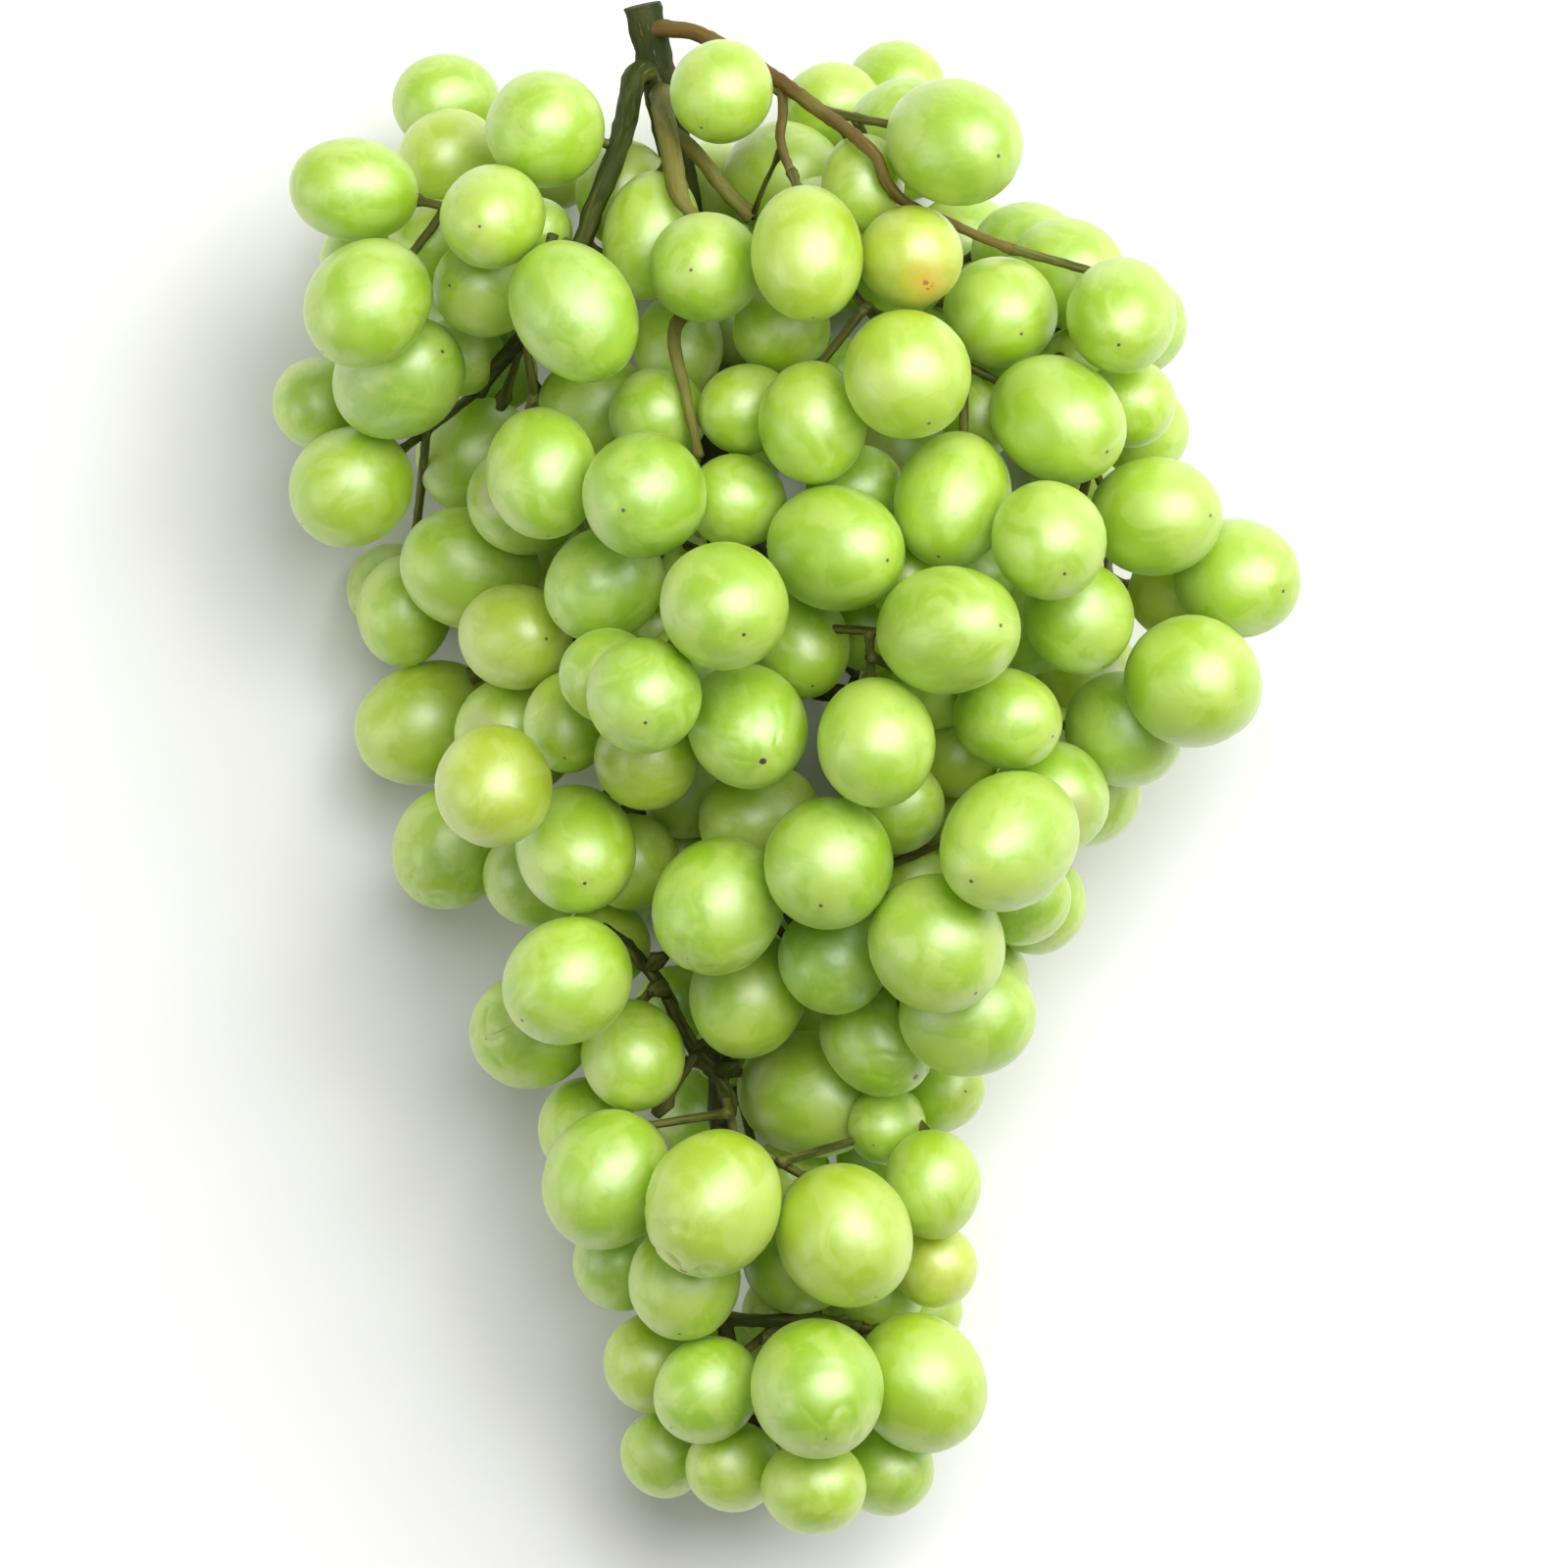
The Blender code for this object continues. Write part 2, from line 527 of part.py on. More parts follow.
def push_apart(made, share=0.45):
    move = np.zeros((len(made.widths), 3))
    first, second = np.triu_indices(len(made.widths), 1)
    lack, way = overlaps(made, first, second)
    lack = np.maximum(lack, 0.0)
    np.add.at(move, first, share * lack[:, None] * way)
    np.add.at(move, second, -share * lack[:, None] * way)
    return move


def push_off_seen(made, seen, share=0.8, near=0.024):
    move = np.zeros((len(made.widths), 3))
    for index in range(len(seen.widths)):
        offset = made.middles - seen.middles[index]
        size = np.linalg.norm(offset, axis=1)
        close = size < near
        if not close.any():
            continue
        way = offset[close] / size[close][:, None]
        need = made.reach(np.nonzero(close)[0], way)
        need = need + seen.reach(np.full(len(way), index), way) + BERRY_GAP
        lack = np.maximum(need - size[close], 0.0)
        move[close] += share * lack[:, None] * way
    return move


def push_off_stems(made, stems, share=0.8):
    move = np.zeros((len(made.widths), 3))
    for path, radius in stems:
        spot, gap = nearest_on_path(made.middles, path)
        way = (made.middles - spot) / np.maximum(gap, 1e-6)[:, None]
        lack = made.reach(np.arange(len(gap)), way) + radius + CLEAR - gap
        move += share * np.maximum(lack, 0.0)[:, None] * way
    return move


def without_overlaps(made, allowed=0.00015):
    """Drops one berry of each pair that still overlaps."""
    first, second = np.triu_indices(len(made.widths), 1)
    overlap = overlaps(made, first, second)[0]
    alive = np.ones(len(made.widths), bool)
    for _ in range(len(made.widths)):
        lack = np.where(alive[first] & alive[second], overlap, 0.0)
        worst = int(np.argmax(lack))
        if lack[worst] < allowed:
            break
        alive[second[worst]] = False
    return made.kept(alive)


def free_radius(points, berries):
    """Distance from each point to the nearest berry, less the gap kept between bodies."""
    offset = points[:, None, :] - berries.middles[None, :, :]
    size = np.linalg.norm(offset, axis=2)
    way = offset / np.maximum(size, 1e-9)[:, :, None]
    spare = berries.lengths ** 2 - berries.widths ** 2
    along = np.sum(way * berries.ways[None, :, :], axis=2)
    reach = np.sqrt(berries.widths ** 2 + spare * along ** 2)
    gap = size - reach
    return gap.min(axis=1) - CLEAR


def laid_stem(rows, berries, wanted, seen=False):
    """A stem clear of the berries, cut where it can't pass, with its radius at each corner."""
    path = stem_path(rows)
    if not seen:
        path = spread(path, STEM_STEP)
        path = np.vstack([path, path[-1:]])
        path = bend_clear(path, berries, wanted[0] + CLEAR, rounds=200)[:-1]
        path = path[sorted(set(list(range(0, len(path), STEM_THINNING)) + [len(path) - 1]))]
    free = np.array([free_radius(spread(path[number:number + 2], 0.001), berries).min()
                     for number in range(len(path) - 1)])
    radii = np.linspace(wanted[0], wanted[1], len(path))
    radii[:-1] = np.minimum(radii[:-1], free)
    radii[1:] = np.minimum(radii[1:], free)
    blocked = np.nonzero(radii < STEM_LEAST)[0]
    if len(blocked):
        last = max(2, blocked[0])
        path = path[:last]
        radii = np.maximum(radii[:last], STEM_LEAST)
    return path, radii


def segment_gap(first, second):
    """Least distance between two paths, sampled."""
    one = spread(first, SAMPLE_STEP)
    two = spread(second, SAMPLE_STEP)
    return np.sqrt(((one[:, None, :] - two[None, :, :]) ** 2).sum(axis=2)).min()


def straightened(path, berries, margin):
    """Drops the corners that a clear path doesn't need."""
    corners = [path[0]]
    index = 0
    while index < len(path) - 1:
        step = len(path) - 1
        while step > index + 1:
            trial = np.array([path[index], path[step]])
            if clear_of_berries(trial, berries, margin):
                break
            step -= 1
        corners.append(path[step])
        index = step
    return np.array(corners)


def routed(berries, index, spot, own, straight):
    """A clear path from inside a berry's stem end to a point of a stem, or None."""
    way = -berries.ways[index]
    pole = berries.middles[index] + way * berries.lengths[index]
    inside = pole - way * PEDICEL_SINK
    margin = PEDICEL_RADIUS + CLEAR
    alone = berries.without(list(own) + [index])
    leaving = (spot - inside) / np.linalg.norm(spot - inside)
    if np.dot(leaving, way) > LEAST_LEAVING and clear_of_berries(np.array([inside, spot]), alone, margin):
        return np.array([inside, spot])
    if straight:
        return None
    return bent_route(inside, pole + way * PEDICEL_OUT, spot, berries.without(own), alone, margin)


def bent_route(inside, start, spot, others, alone, margin, step=0.0025, eased=0.97):
    """A path that first leaves its berry straight and then bends clear of the others, or None."""
    parts = max(3, int(np.linalg.norm(spot - start) / step))
    path = start + np.linspace(0.0, 1.0, parts + 1)[:, None] * (spot - start)
    path = np.vstack([path[:1], path])
    path = bend_clear(path, others, margin, rounds=45, pull=0.35)[1:]
    margin = margin * eased
    if not clear_of_berries(path, others, margin):
        return None
    if not clear_of_berries(np.array([inside, start]), alone, margin):
        return None
    if not clear_of_berries(np.array([start, path[0]]), others, margin):
        return None
    path = straightened(path, others, margin)
    if len(path) > 2 and clear_of_berries(np.array([inside, path[1]]), alone, margin):
        path = path[1:]
    return np.vstack([inside[None, :], path])


class Spray:
    """One side stem with the berries' stems that grow from it."""

    def __init__(self, name, path, radii):
        self.name = name
        self.path = path
        self.radii = radii
        self.twigs = []
        self.berries = []
        self.forks = []
        self.anchors = spread(path[1:], ANCHOR_STEP)

    def add_fork(self, path, radii):
        self.forks.append((path, radii))
        self.anchors = np.vstack([self.anchors, spread(path[1:], ANCHOR_STEP)])

    def bodies(self):
        yield self.path, float(self.radii.max())
        for path, radii in self.forks:
            yield path, float(radii.max())
        for twig in self.twigs:
            yield twig, PEDICEL_RADIUS


def crosses(path, bodies, near=0.004):
    """True where a path comes too near a stem that it doesn't grow from."""
    low = path.min(axis=0) - near
    high = path.max(axis=0) + near
    for other, radius in bodies:
        if (other.min(axis=0) > high).any() or (other.max(axis=0) < low).any():
            continue
        if segment_gap(path, other) < radius + PEDICEL_RADIUS + CLEAR * 1.3:
            return True
    return False


def cut_base(path, radii, carrier, carrier_radius, step=0.0005, after=0.002):
    """Moves a side stem's foot out of the stem that carries it, so that a small gap is left."""
    need = carrier_radius + CLEAR + radii[0]
    fine = spread(path, step)
    gap = nearest_on_path(fine, carrier)[1]
    first = 0
    while gap[first] < need:
        first += 1
    walked = np.linalg.norm(np.diff(path, axis=0), axis=1).cumsum()
    start = np.linalg.norm(np.diff(fine[:first + 1], axis=0), axis=1).sum()
    later = np.nonzero(walked > start + after)[0][0] + 1
    return np.vstack([fine[first:first + 1], path[later:]]), radii[later - 1:]


def laid_stems(seen):
    """The main stem, and each side stem with its foot just off it and with its forks."""
    main, main_radii = laid_stem(MAIN_STEM, seen, MAIN_RADIUS)
    sprays = {}
    for name, rows in SIDE_STEMS.items():
        path, radii = laid_stem(rows, seen, SIDE_RADII.get(name, SIDE_RADIUS), name in SEEN_STEMS)
        if name in FORKS:
            sprays[FORKS[name]].add_fork(path, radii)
            continue
        near = nearest_on_path(path[:1], main)[0]
        local = main_radii[np.argmin(np.linalg.norm(main - near, axis=1))]
        path, radii = cut_base(path, radii, main, local)
        sprays[name] = Spray(name, path, radii)
    return main, main_radii, list(sprays.values())


def choices(spray_list, pole):
    """Points of the stems near a berry's stem end, the nearest first."""
    found = []
    for number, spray in enumerate(spray_list):
        gap = np.linalg.norm(spray.anchors - pole, axis=1)
        for spot in np.argsort(gap)[:40:4]:
            if gap[spot] < MAX_REACH:
                found.append((gap[spot], number, spot))
    found.sort()
    return found


def hang_berries(berries, sprays, main, main_radii):
    """Gives every berry a clear stem to the nearest spray that it can reach."""
    poles = berries.middles - berries.ways * berries.lengths[:, None]
    gaps = [nearest_on_path(poles, spray.path)[1] for spray in sprays]
    order = np.argsort(np.min(gaps, axis=0))
    waiting = []
    for index in order:
        if hang_one(berries, index, sprays, main, main_radii, poles[index], 3 * TRIES, False, True):
            continue
        if not hang_one(berries, index, sprays, main, main_radii, poles[index], TRIES, False):
            waiting.append(index)
    left = []
    for index in waiting:
        if hang_one(berries, index, sprays, main, main_radii, poles[index], 3 * TRIES, False):
            continue
        if not hang_one(berries, index, sprays, main, main_radii, poles[index], TRIES, True):
            left.append(index)
    return left


def hang_one(berries, index, sprays, main, main_radii, pole, tries, pressed, straight=False):
    """Hangs one berry on the nearest point of a spray that a clear stem reaches."""
    for gap, number, spot in choices(sprays, pole)[:tries]:
        spray = sprays[number]
        if len(spray.berries) >= MOST_ON_SPRAY:
            continue
        bodies = [(main, float(main_radii.max()))]
        for other in sprays:
            if other is not spray:
                bodies.extend(other.bodies())
        own = spray.berries if pressed else []
        path = routed(berries, index, spray.anchors[spot], own, straight)
        if path is None or crosses(path, bodies):
            continue
        spray.twigs.append(path)
        spray.berries.append(index)
        extra = spread(path, ANCHOR_STEP)[:-1]
        extra = extra[np.linalg.norm(extra - pole, axis=1) > PEDICEL_SINK + ANCHOR_STEP]
        if len(extra):
            spray.anchors = np.vstack([spray.anchors, extra])
        return True
    return False


def inner_berries(berries):
    """True for the berries deep inside, which the solids leave out."""
    deep = berries.middles[:, 2] > INNER_HEIGHT
    across = berries.middles[:, 0] / PIXEL + MIDDLE_PIXEL
    down = MIDDLE_PIXEL - berries.middles[:, 1] / PIXEL
    half, middle, depth = outline_at(down)
    central = (np.abs(across - middle) < INNER_SHARE * half) & (down > INNER_FROM) & (down < INNER_TO)
    hidden = (berries.order == 0) & deep
    small = (berries.order == 1) & (berries.widths < SMALL_DEEP_WIDTH) & deep & central
    return hidden | small


def unit_ball():
    """The corners and triangles of a ball of 80 faces and radius 1, with a face at its stem end."""
    mesh = bmesh.new()
    bmesh.ops.create_icosphere(mesh, subdivisions=2, radius=1.0)
    mesh.verts.ensure_lookup_table()
    corners = np.array([tuple(vert.co) for vert in mesh.verts])
    faces = [tuple(vert.index for vert in face.verts) for face in mesh.faces]
    mesh.free()
    middles = np.array([corners[list(face)].mean(axis=0) for face in faces])
    lowest = middles[np.argmax(np.linalg.norm(middles, axis=1) - 0.05 * middles[:, 2])]
    return corners @ turned_to(-lowest / np.linalg.norm(lowest)), faces


def turned_to(way):
    """A turn whose third column is the given direction."""
    helper = np.array((1.0, 0.0, 0.0)) if abs(way[0]) < 0.8 else np.array((0.0, 1.0, 0.0))
    side = np.cross(helper, way)
    side /= np.linalg.norm(side)
    return np.stack([side, np.cross(way, side), way], axis=1)


def berry_corners(ball, berries, index):
    wide = berries.widths[index]
    size = np.array((wide, wide, berries.lengths[index]))
    return (ball * size) @ turned_to(berries.ways[index]).T + berries.middles[index]


def mesh_object(name, corners, faces):
    mesh = bpy.data.meshes.new(name)
    mesh.from_pydata([tuple(map(float, corner)) for corner in corners], [], faces)
    mesh.update()
    made = bpy.data.objects.new(name, mesh)
    return made


def pressed_flat(made):
    """Cuts a body off level with the table and closes it with a flat face."""
    work = bmesh.new()
    work.from_mesh(made.data)
    everything = work.verts[:] + work.edges[:] + work.faces[:]
    bmesh.ops.bisect_plane(work, geom=everything, dist=1e-7, plane_co=(0.0, 0.0, 0.0),
                           plane_no=(0.0, 0.0, 1.0), clear_inner=True)
    rim = [edge for edge in work.edges if edge.is_boundary]
    if rim:
        bmesh.ops.holes_fill(work, edges=rim, sides=0)
    bmesh.ops.recalc_face_normals(work, faces=work.faces[:])
    bmesh.ops.triangulate(work, faces=work.faces[:])
    work.to_mesh(made.data)
    work.free()


def tube(name, path, radii, sides):
    """A closed tube along a path, with its radius at each corner of the path."""
    corners = []
    helper = None
    for number, spot in enumerate(path):
        before = path[max(0, number - 1)]
        after = path[min(len(path) - 1, number + 1)]
        way = after - before
        way = way / np.linalg.norm(way)
        if helper is None:
            helper = turned_to(way)[:, 0]
        helper = helper - way * np.dot(helper, way)
        helper = helper / np.linalg.norm(helper)
        across = np.cross(way, helper)
        for side in range(sides):
            turn = 2.0 * math.pi * side / sides
            corners.append(spot + radii[number] * (math.cos(turn) * helper + math.sin(turn) * across))
    faces = [tuple(reversed(range(sides)))]
    for number in range(len(path) - 1):
        low = number * sides
        for side in range(sides):
            nextside = (side + 1) % sides
            faces.append((low + side, low + nextside, low + sides + nextside, low + sides + side))
    last = (len(path) - 1) * sides
    faces.append(tuple(range(last, last + sides)))
    return mesh_object(name, corners, faces)


def joined(name, base, others, shade):
    """One body from a stem and everything that grows from it."""
    scene = bpy.context.scene
    scene.collection.objects.link(base)
    group = bpy.data.collections.new(name + "_pieces")
    scene.collection.children.link(group)
    for other in others:
        group.objects.link(other)
    union = base.modifiers.new("union", "BOOLEAN")
    union.operation = "UNION"
    union.operand_type = "COLLECTION"
    union.collection = group
    union.solver = "EXACT"
    bpy.context.view_layer.update()
    depsgraph = bpy.context.evaluated_depsgraph_get()
    mesh = bpy.data.meshes.new_from_object(base.evaluated_get(depsgraph))
    base.modifiers.clear()
    base.data = mesh
    for other in others:
        bpy.data.objects.remove(other)
    bpy.data.collections.remove(group)
    largest_only(base)
    base.name = name
    base.data.name = name
    finish(base, shade)
    return base


def largest_only(made):
    """Triangulates a joined body and drops any loose scrap."""
    work = bmesh.new()
    work.from_mesh(made.data)
    bmesh.ops.remove_doubles(work, verts=work.verts[:], dist=1e-6)
    bmesh.ops.triangulate(work, faces=work.faces[:])
    bmesh.ops.dissolve_degenerate(work, edges=work.edges[:], dist=1e-6)
    for group in connected_groups(work)[:-1]:
        bmesh.ops.delete(work, geom=group, context="FACES")
    work.to_mesh(made.data)
    work.free()


def connected_groups(work):
    """The faces of each connected piece of a mesh, the smallest piece first."""
    groups = []
    waiting = set(work.faces)
    while waiting:
        group = [waiting.pop()]
        stack = [group[0]]
        while stack:
            for edge in stack.pop().edges:
                for other in edge.link_faces:
                    if other in waiting:
                        waiting.remove(other)
                        group.append(other)
                        stack.append(other)
        groups.append(group)
    return sorted(groups, key=len)


def finish(made, shade):
    for face in made.data.polygons:
        face.use_smooth = True
    made.data.materials.clear()
    made.data.materials.append(shade)


def coloured(name, colour, roughness):
    shade = bpy.data.materials.new(name)
    shade.use_nodes = True
    skin = shade.node_tree.nodes["Principled BSDF"]
    skin.inputs["Base Color"].default_value = (*colour, 1.0)
    skin.inputs["Roughness"].default_value = roughness
    skin.inputs["Metallic"].default_value = 0.0
    return shade


def spray_body(spray, berries, ball, faces):
    base = tube(spray.name, spray.path, spray.radii, 4)
    others = [tube(spray.name + "_fork", path, radii, 4) for path, radii in spray.forks]
    for number, index in enumerate(spray.berries):
        body = mesh_object(spray.name + "_berry", berry_corners(ball, berries, index), faces)
        if berries.middles[index, 2] < berries.heights()[index]:
            pressed_flat(body)
        others.append(body)
        twig = spray.twigs[number].copy()
        last = twig[-1] - twig[-2]
        twig[-1] += last / np.linalg.norm(last) * PEDICEL_ROOT
        others.append(tube(spray.name + "_twig", twig, np.full(len(twig), PEDICEL_RADIUS), 3))
    shade = coloured("skin_" + spray.name, SKIN_COLOUR, SKIN_ROUGHNESS)
    return joined("spray_" + spray.name, base, others, shade)


def grow():
    """Every berry and stem of the solids."""
    seen = seen_berries()
    settle_seen(seen)
    main, main_radii, sprays = laid_stems(seen)
    stems = [(main, float(main_radii.max()))]
    stems.extend(body for spray in sprays for body in spray.bodies())
    berries = seen.joined(hidden_berries(seen, stems))
    berries = berries.kept(~inner_berries(berries))
    hang_berries(berries, sprays, main, main_radii)
    return berries, sprays, main, main_radii


def build():
    for thing in list(bpy.data.objects):
        bpy.data.objects.remove(thing)
    berries, sprays, main, main_radii = grow()
    ball, faces = unit_ball()
    made = [spray_body(spray, berries, ball, faces) for spray in sprays if spray.berries]
    stem = tube("main_stem", main, main_radii, 6)
    bpy.context.scene.collection.objects.link(stem)
    largest_only(stem)
    finish(stem, coloured("stem_bark", BARK_COLOUR, BARK_ROUGHNESS))
    made.append(stem)
    centre_on_frame(made)


def centre_on_frame(made):
    """Puts the middle of the bunch's box over the origin."""
    rows = [np.array([tuple(vert.co) for vert in thing.data.vertices]) for thing in made]
    points = np.vstack(rows)
    middle = (points.min(axis=0) + points.max(axis=0)) / 2.0
    for thing in made:
        for vert in thing.data.vertices:
            vert.co.x -= middle[0]
            vert.co.y -= middle[1]
        thing.data.update()


build()
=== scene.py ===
"""The bunch of green grapes on a pale floor, seen from above."""
import math

import bpy
import numpy as np
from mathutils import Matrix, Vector, noise


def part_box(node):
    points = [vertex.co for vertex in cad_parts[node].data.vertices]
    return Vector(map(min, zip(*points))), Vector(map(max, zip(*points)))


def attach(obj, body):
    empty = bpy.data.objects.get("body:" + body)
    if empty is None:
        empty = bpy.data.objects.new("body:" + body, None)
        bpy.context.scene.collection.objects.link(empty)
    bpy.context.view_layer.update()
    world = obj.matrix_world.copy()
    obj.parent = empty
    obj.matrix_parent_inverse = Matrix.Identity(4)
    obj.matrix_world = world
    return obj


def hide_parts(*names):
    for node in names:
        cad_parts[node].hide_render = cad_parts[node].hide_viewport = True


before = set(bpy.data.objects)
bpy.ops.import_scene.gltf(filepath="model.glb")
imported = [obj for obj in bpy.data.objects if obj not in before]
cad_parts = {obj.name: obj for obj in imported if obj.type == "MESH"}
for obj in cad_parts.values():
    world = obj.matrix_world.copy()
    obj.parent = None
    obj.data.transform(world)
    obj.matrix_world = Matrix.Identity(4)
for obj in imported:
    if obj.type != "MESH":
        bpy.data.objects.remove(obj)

# width of the usual berry, real and in the photograph's pixels, which sets the size of the bunch
USUAL_BERRY_WIDTH = 0.018
USUAL_BERRY_PIXELS = 120.0
PIXEL = USUAL_BERRY_WIDTH / USUAL_BERRY_PIXELS
# pixel that lies on the vertical line through the origin of the frame
MIDDLE_PIXEL = 800.0

# Berries seen in the photograph, by how far forward they lie, the deepest first.
# Each row: pixels across, pixels down, half length, half width, turn of the length
# in degrees against the clock, and the style scar's pixels where it is seen.
SEEN_BERRIES = {
    1: [
        (374, 262, 50, 48, 0), (321, 408, 48, 47, 90), (395, 598, 50, 48, 0),
        (457, 866, 66, 60, 55), (500, 375, 46, 40, 0), (608, 415, 62, 55, 0), (728, 186, 50, 48, 0),
        (850, 104, 52, 46, 0), (1158, 327, 57, 55, 0), (1168, 438, 48, 48, 90), (1236, 702, 55, 54, 0),
        (1201, 604, 48, 46, 0), (888, 640, 46, 46, 0), (930, 905, 46, 42, 0), (1060, 924, 52, 50, 60),
        (1006, 1000, 46, 46, 0), (688, 1030, 42, 42, 0), (597, 1155, 54, 50, 90), (541, 1053, 64, 60, 10),
        (633, 1292, 51, 50, 0), (735, 1398, 48, 46, 0), (676, 1492, 46, 44, 0, 645, 1459),
        (792, 1345, 38, 36, 90), (893, 1325, 52, 46, 0), (908, 1186, 54, 50, 0), (546, 895, 55, 53, 0),
        (618, 965, 45, 45, 0), (693, 870, 48, 45, 90), (700, 812, 45, 45, 0), (858, 385, 42, 42, 0),
        (1000, 425, 42, 42, 0), (1003, 368, 46, 42, 0), (1105, 372, 45, 42, 0), (985, 588, 50, 45, 0),
        (925, 592, 42, 42, 0), (1078, 765, 48, 45, 0), (975, 772, 45, 42, 0), (952, 702, 44, 42, 0),
        (825, 1040, 42, 40, 0), (712, 1142, 45, 45, 0), (745, 1078, 40, 36, 0), (808, 1205, 42, 42, 0),
        (522, 735, 40, 40, 0), (575, 575, 42, 42, 0), (690, 582, 40, 40, 0), (672, 640, 40, 38, 0),
        (942, 1345, 43, 42, 0), (1052, 640, 50, 48, 0), (915, 82, 52, 50, 0),
        (748, 1502, 50, 47, 0), (830, 1520, 54, 50, 0), (905, 1506, 50, 48, 0),
    ],
    2: [
        (458, 160, 55, 52, 0), (452, 98, 56, 51, 0), (357, 495, 66, 61, 60, 303, 536),
        (484, 462, 65, 62, 0), (672, 425, 50, 50, 0), (692, 352, 55, 46, 90), (432, 737, 79, 64, 18),
        (643, 880, 50, 50, 0), (645, 1078, 58, 53, 100), (668, 1396, 55, 53, 0), (816, 1289, 58, 56, 0),
        (955, 1295, 44, 43, 0), (955, 1112, 53, 48, 0, 987, 1116), (1043, 918, 50, 46, 20),
        (1108, 808, 59, 57, 0), (1052, 255, 60, 54, -10), (1152, 412, 47, 46, 0), (800, 180, 62, 60, 0),
        (838, 232, 52, 51, 0), (915, 280, 52, 48, 0), (797, 337, 50, 48, 0), (872, 500, 50, 46, 0),
    ],
    3: [
        (362, 195, 67, 53, -8), (445, 248, 50, 46, 0), (407, 385, 70, 62, 20, 453, 360),
        (546, 236, 38, 36, 0), (408, 621, 58, 50, 100, 401, 678), (588, 866, 72, 62, 95, 598, 901),
        (580, 1000, 69, 63, 25, 534, 1040), (698, 1308, 62, 57, 20, 693, 1363),
        (721, 1421, 58, 53, 80, 684, 1459), (952, 1210, 57, 50, 90), (827, 1119, 78, 66, -18, 886, 1133),
        (1147, 744, 62, 59, -30), (1099, 631, 59, 56, -20, 1127, 687), (1262, 590, 66, 61, -10, 1308, 604),
        (1090, 278, 62, 57, -20), (880, 192, 52, 42, 90), (636, 195, 56, 50, 90), (912, 822, 52, 50, 0),
    ],
    4: [
        (496, 294, 54, 51, 0, 460, 294), (557, 134, 61, 60, 0), (477, 578, 74, 63, -15),
        (619, 1204, 74, 65, 65), (940, 1414, 75, 66, -60), (895, 1062, 63, 54, -10, 935, 1100),
        (763, 1016, 66, 60, 70), (1027, 734, 56, 51, -10, 1072, 752), (1178, 528, 68, 61, -8, 1233, 528),
        (762, 419, 50, 46, 20), (816, 656, 58, 51, 80, 829, 701), (776, 836, 64, 58, 10),
        (737, 96, 53, 52, 0, 716, 135),
    ],
    5: [
        (378, 312, 70, 61, 50, 332, 363), (555, 485, 68, 57, 95, 562, 550),
        (525, 649, 66, 55, 95, 558, 652), (728, 1227, 79, 68, 85, 694, 1303), (834, 1417, 72, 68, 100),
        (861, 1260, 75, 69, 100, 894, 1323), (850, 979, 58, 55, 0, 903, 1011), (987, 1035, 70, 63, 0),
        (1020, 320, 59, 57, 0, 1041, 344), (752, 513, 51, 48, 0), (972, 152, 79, 64, -10, 1016, 169),
        (665, 241, 68, 50, 80),
    ],
    6: [
        (505, 226, 55, 53, 0, 493, 238), (617, 597, 64, 57, 30, 568, 633), (506, 802, 62, 60, 90),
        (580, 737, 57, 46, 100, 577, 774), (733, 924, 72, 66, 60), (955, 962, 72, 69, 110, 994, 1012),
        (1027, 858, 82, 67, -35, 988, 898), (1215, 696, 70, 67, -10), (1077, 430, 73, 62, -10, 1127, 465),
        (928, 267, 53, 52, 0), (829, 434, 63, 55, 95), (971, 512, 70, 60, 93, 956, 571),
    ],
    7: [
        (588, 323, 77, 61, 110, 629, 387), (622, 690, 50, 48, 0), (660, 774, 53, 53, 0),
        (845, 880, 67, 66, 90, 837, 923), (1142, 325, 67, 56, -15, 1138, 357),
        (853, 562, 71, 63, 0, 905, 575), (966, 645, 76, 65, -5, 1018, 641), (721, 277, 69, 57, 72, 706, 282),
    ],
    8: [
        (763, 741, 66, 60, 100, 779, 778), (1067, 554, 61, 58, 90, 1082, 589),
        (924, 387, 66, 64, 90, 946, 438), (893, 758, 66, 60, 95), (823, 265, 70, 57, 97, 829, 332),
    ],
    9: [(659, 711, 59, 58, 0, 661, 739), (659, 508, 64, 63, 0, 638, 525)],
    10: [(740, 621, 66, 64, 0, 760, 651)],
}

# half width and middle of the bunch down the photograph, in pixels, and its half depth in metres
OUTLINE = [
    (0, 300, 720, 0.034), (200, 420, 715, 0.040), (400, 480, 750, 0.043), (600, 490, 820, 0.043),
    (800, 420, 770, 0.040), (1000, 300, 780, 0.035), (1200, 235, 775, 0.031), (1400, 215, 810, 0.028),
    (1560, 150, 820, 0.022),
]

# length of a berry against its width, where the photograph looks at its end, and its least and most
USUAL_STRETCH = 1.13
LEAST_STRETCH = 1.05
MOST_STRETCH = 1.30
# length of a seen outline against its width, at the least
LEAST_SEEN_STRETCH = 1.001
# most that a seen berry's length leans out of the vertical, as a sine
MOST_LEAN = 0.97
# how strongly a berry's tip hangs down instead of outward, in pixels of outward distance
HANG_DOWN = 60.0

# seed of every random draw
SEED = 41
# gap kept between two nodes, and between two berries
CLEAR = 0.00035
BERRY_GAP = 0.0002
# a berry's stem: its radius, how far it leaves the berry straight, and how deep it sits in it
PEDICEL_RADIUS = 0.0007
PEDICEL_OUT = 0.0016
PEDICEL_SINK = 0.0024
# the lowest berries are pressed to this share of their half height
TABLE_PRESS = 0.90

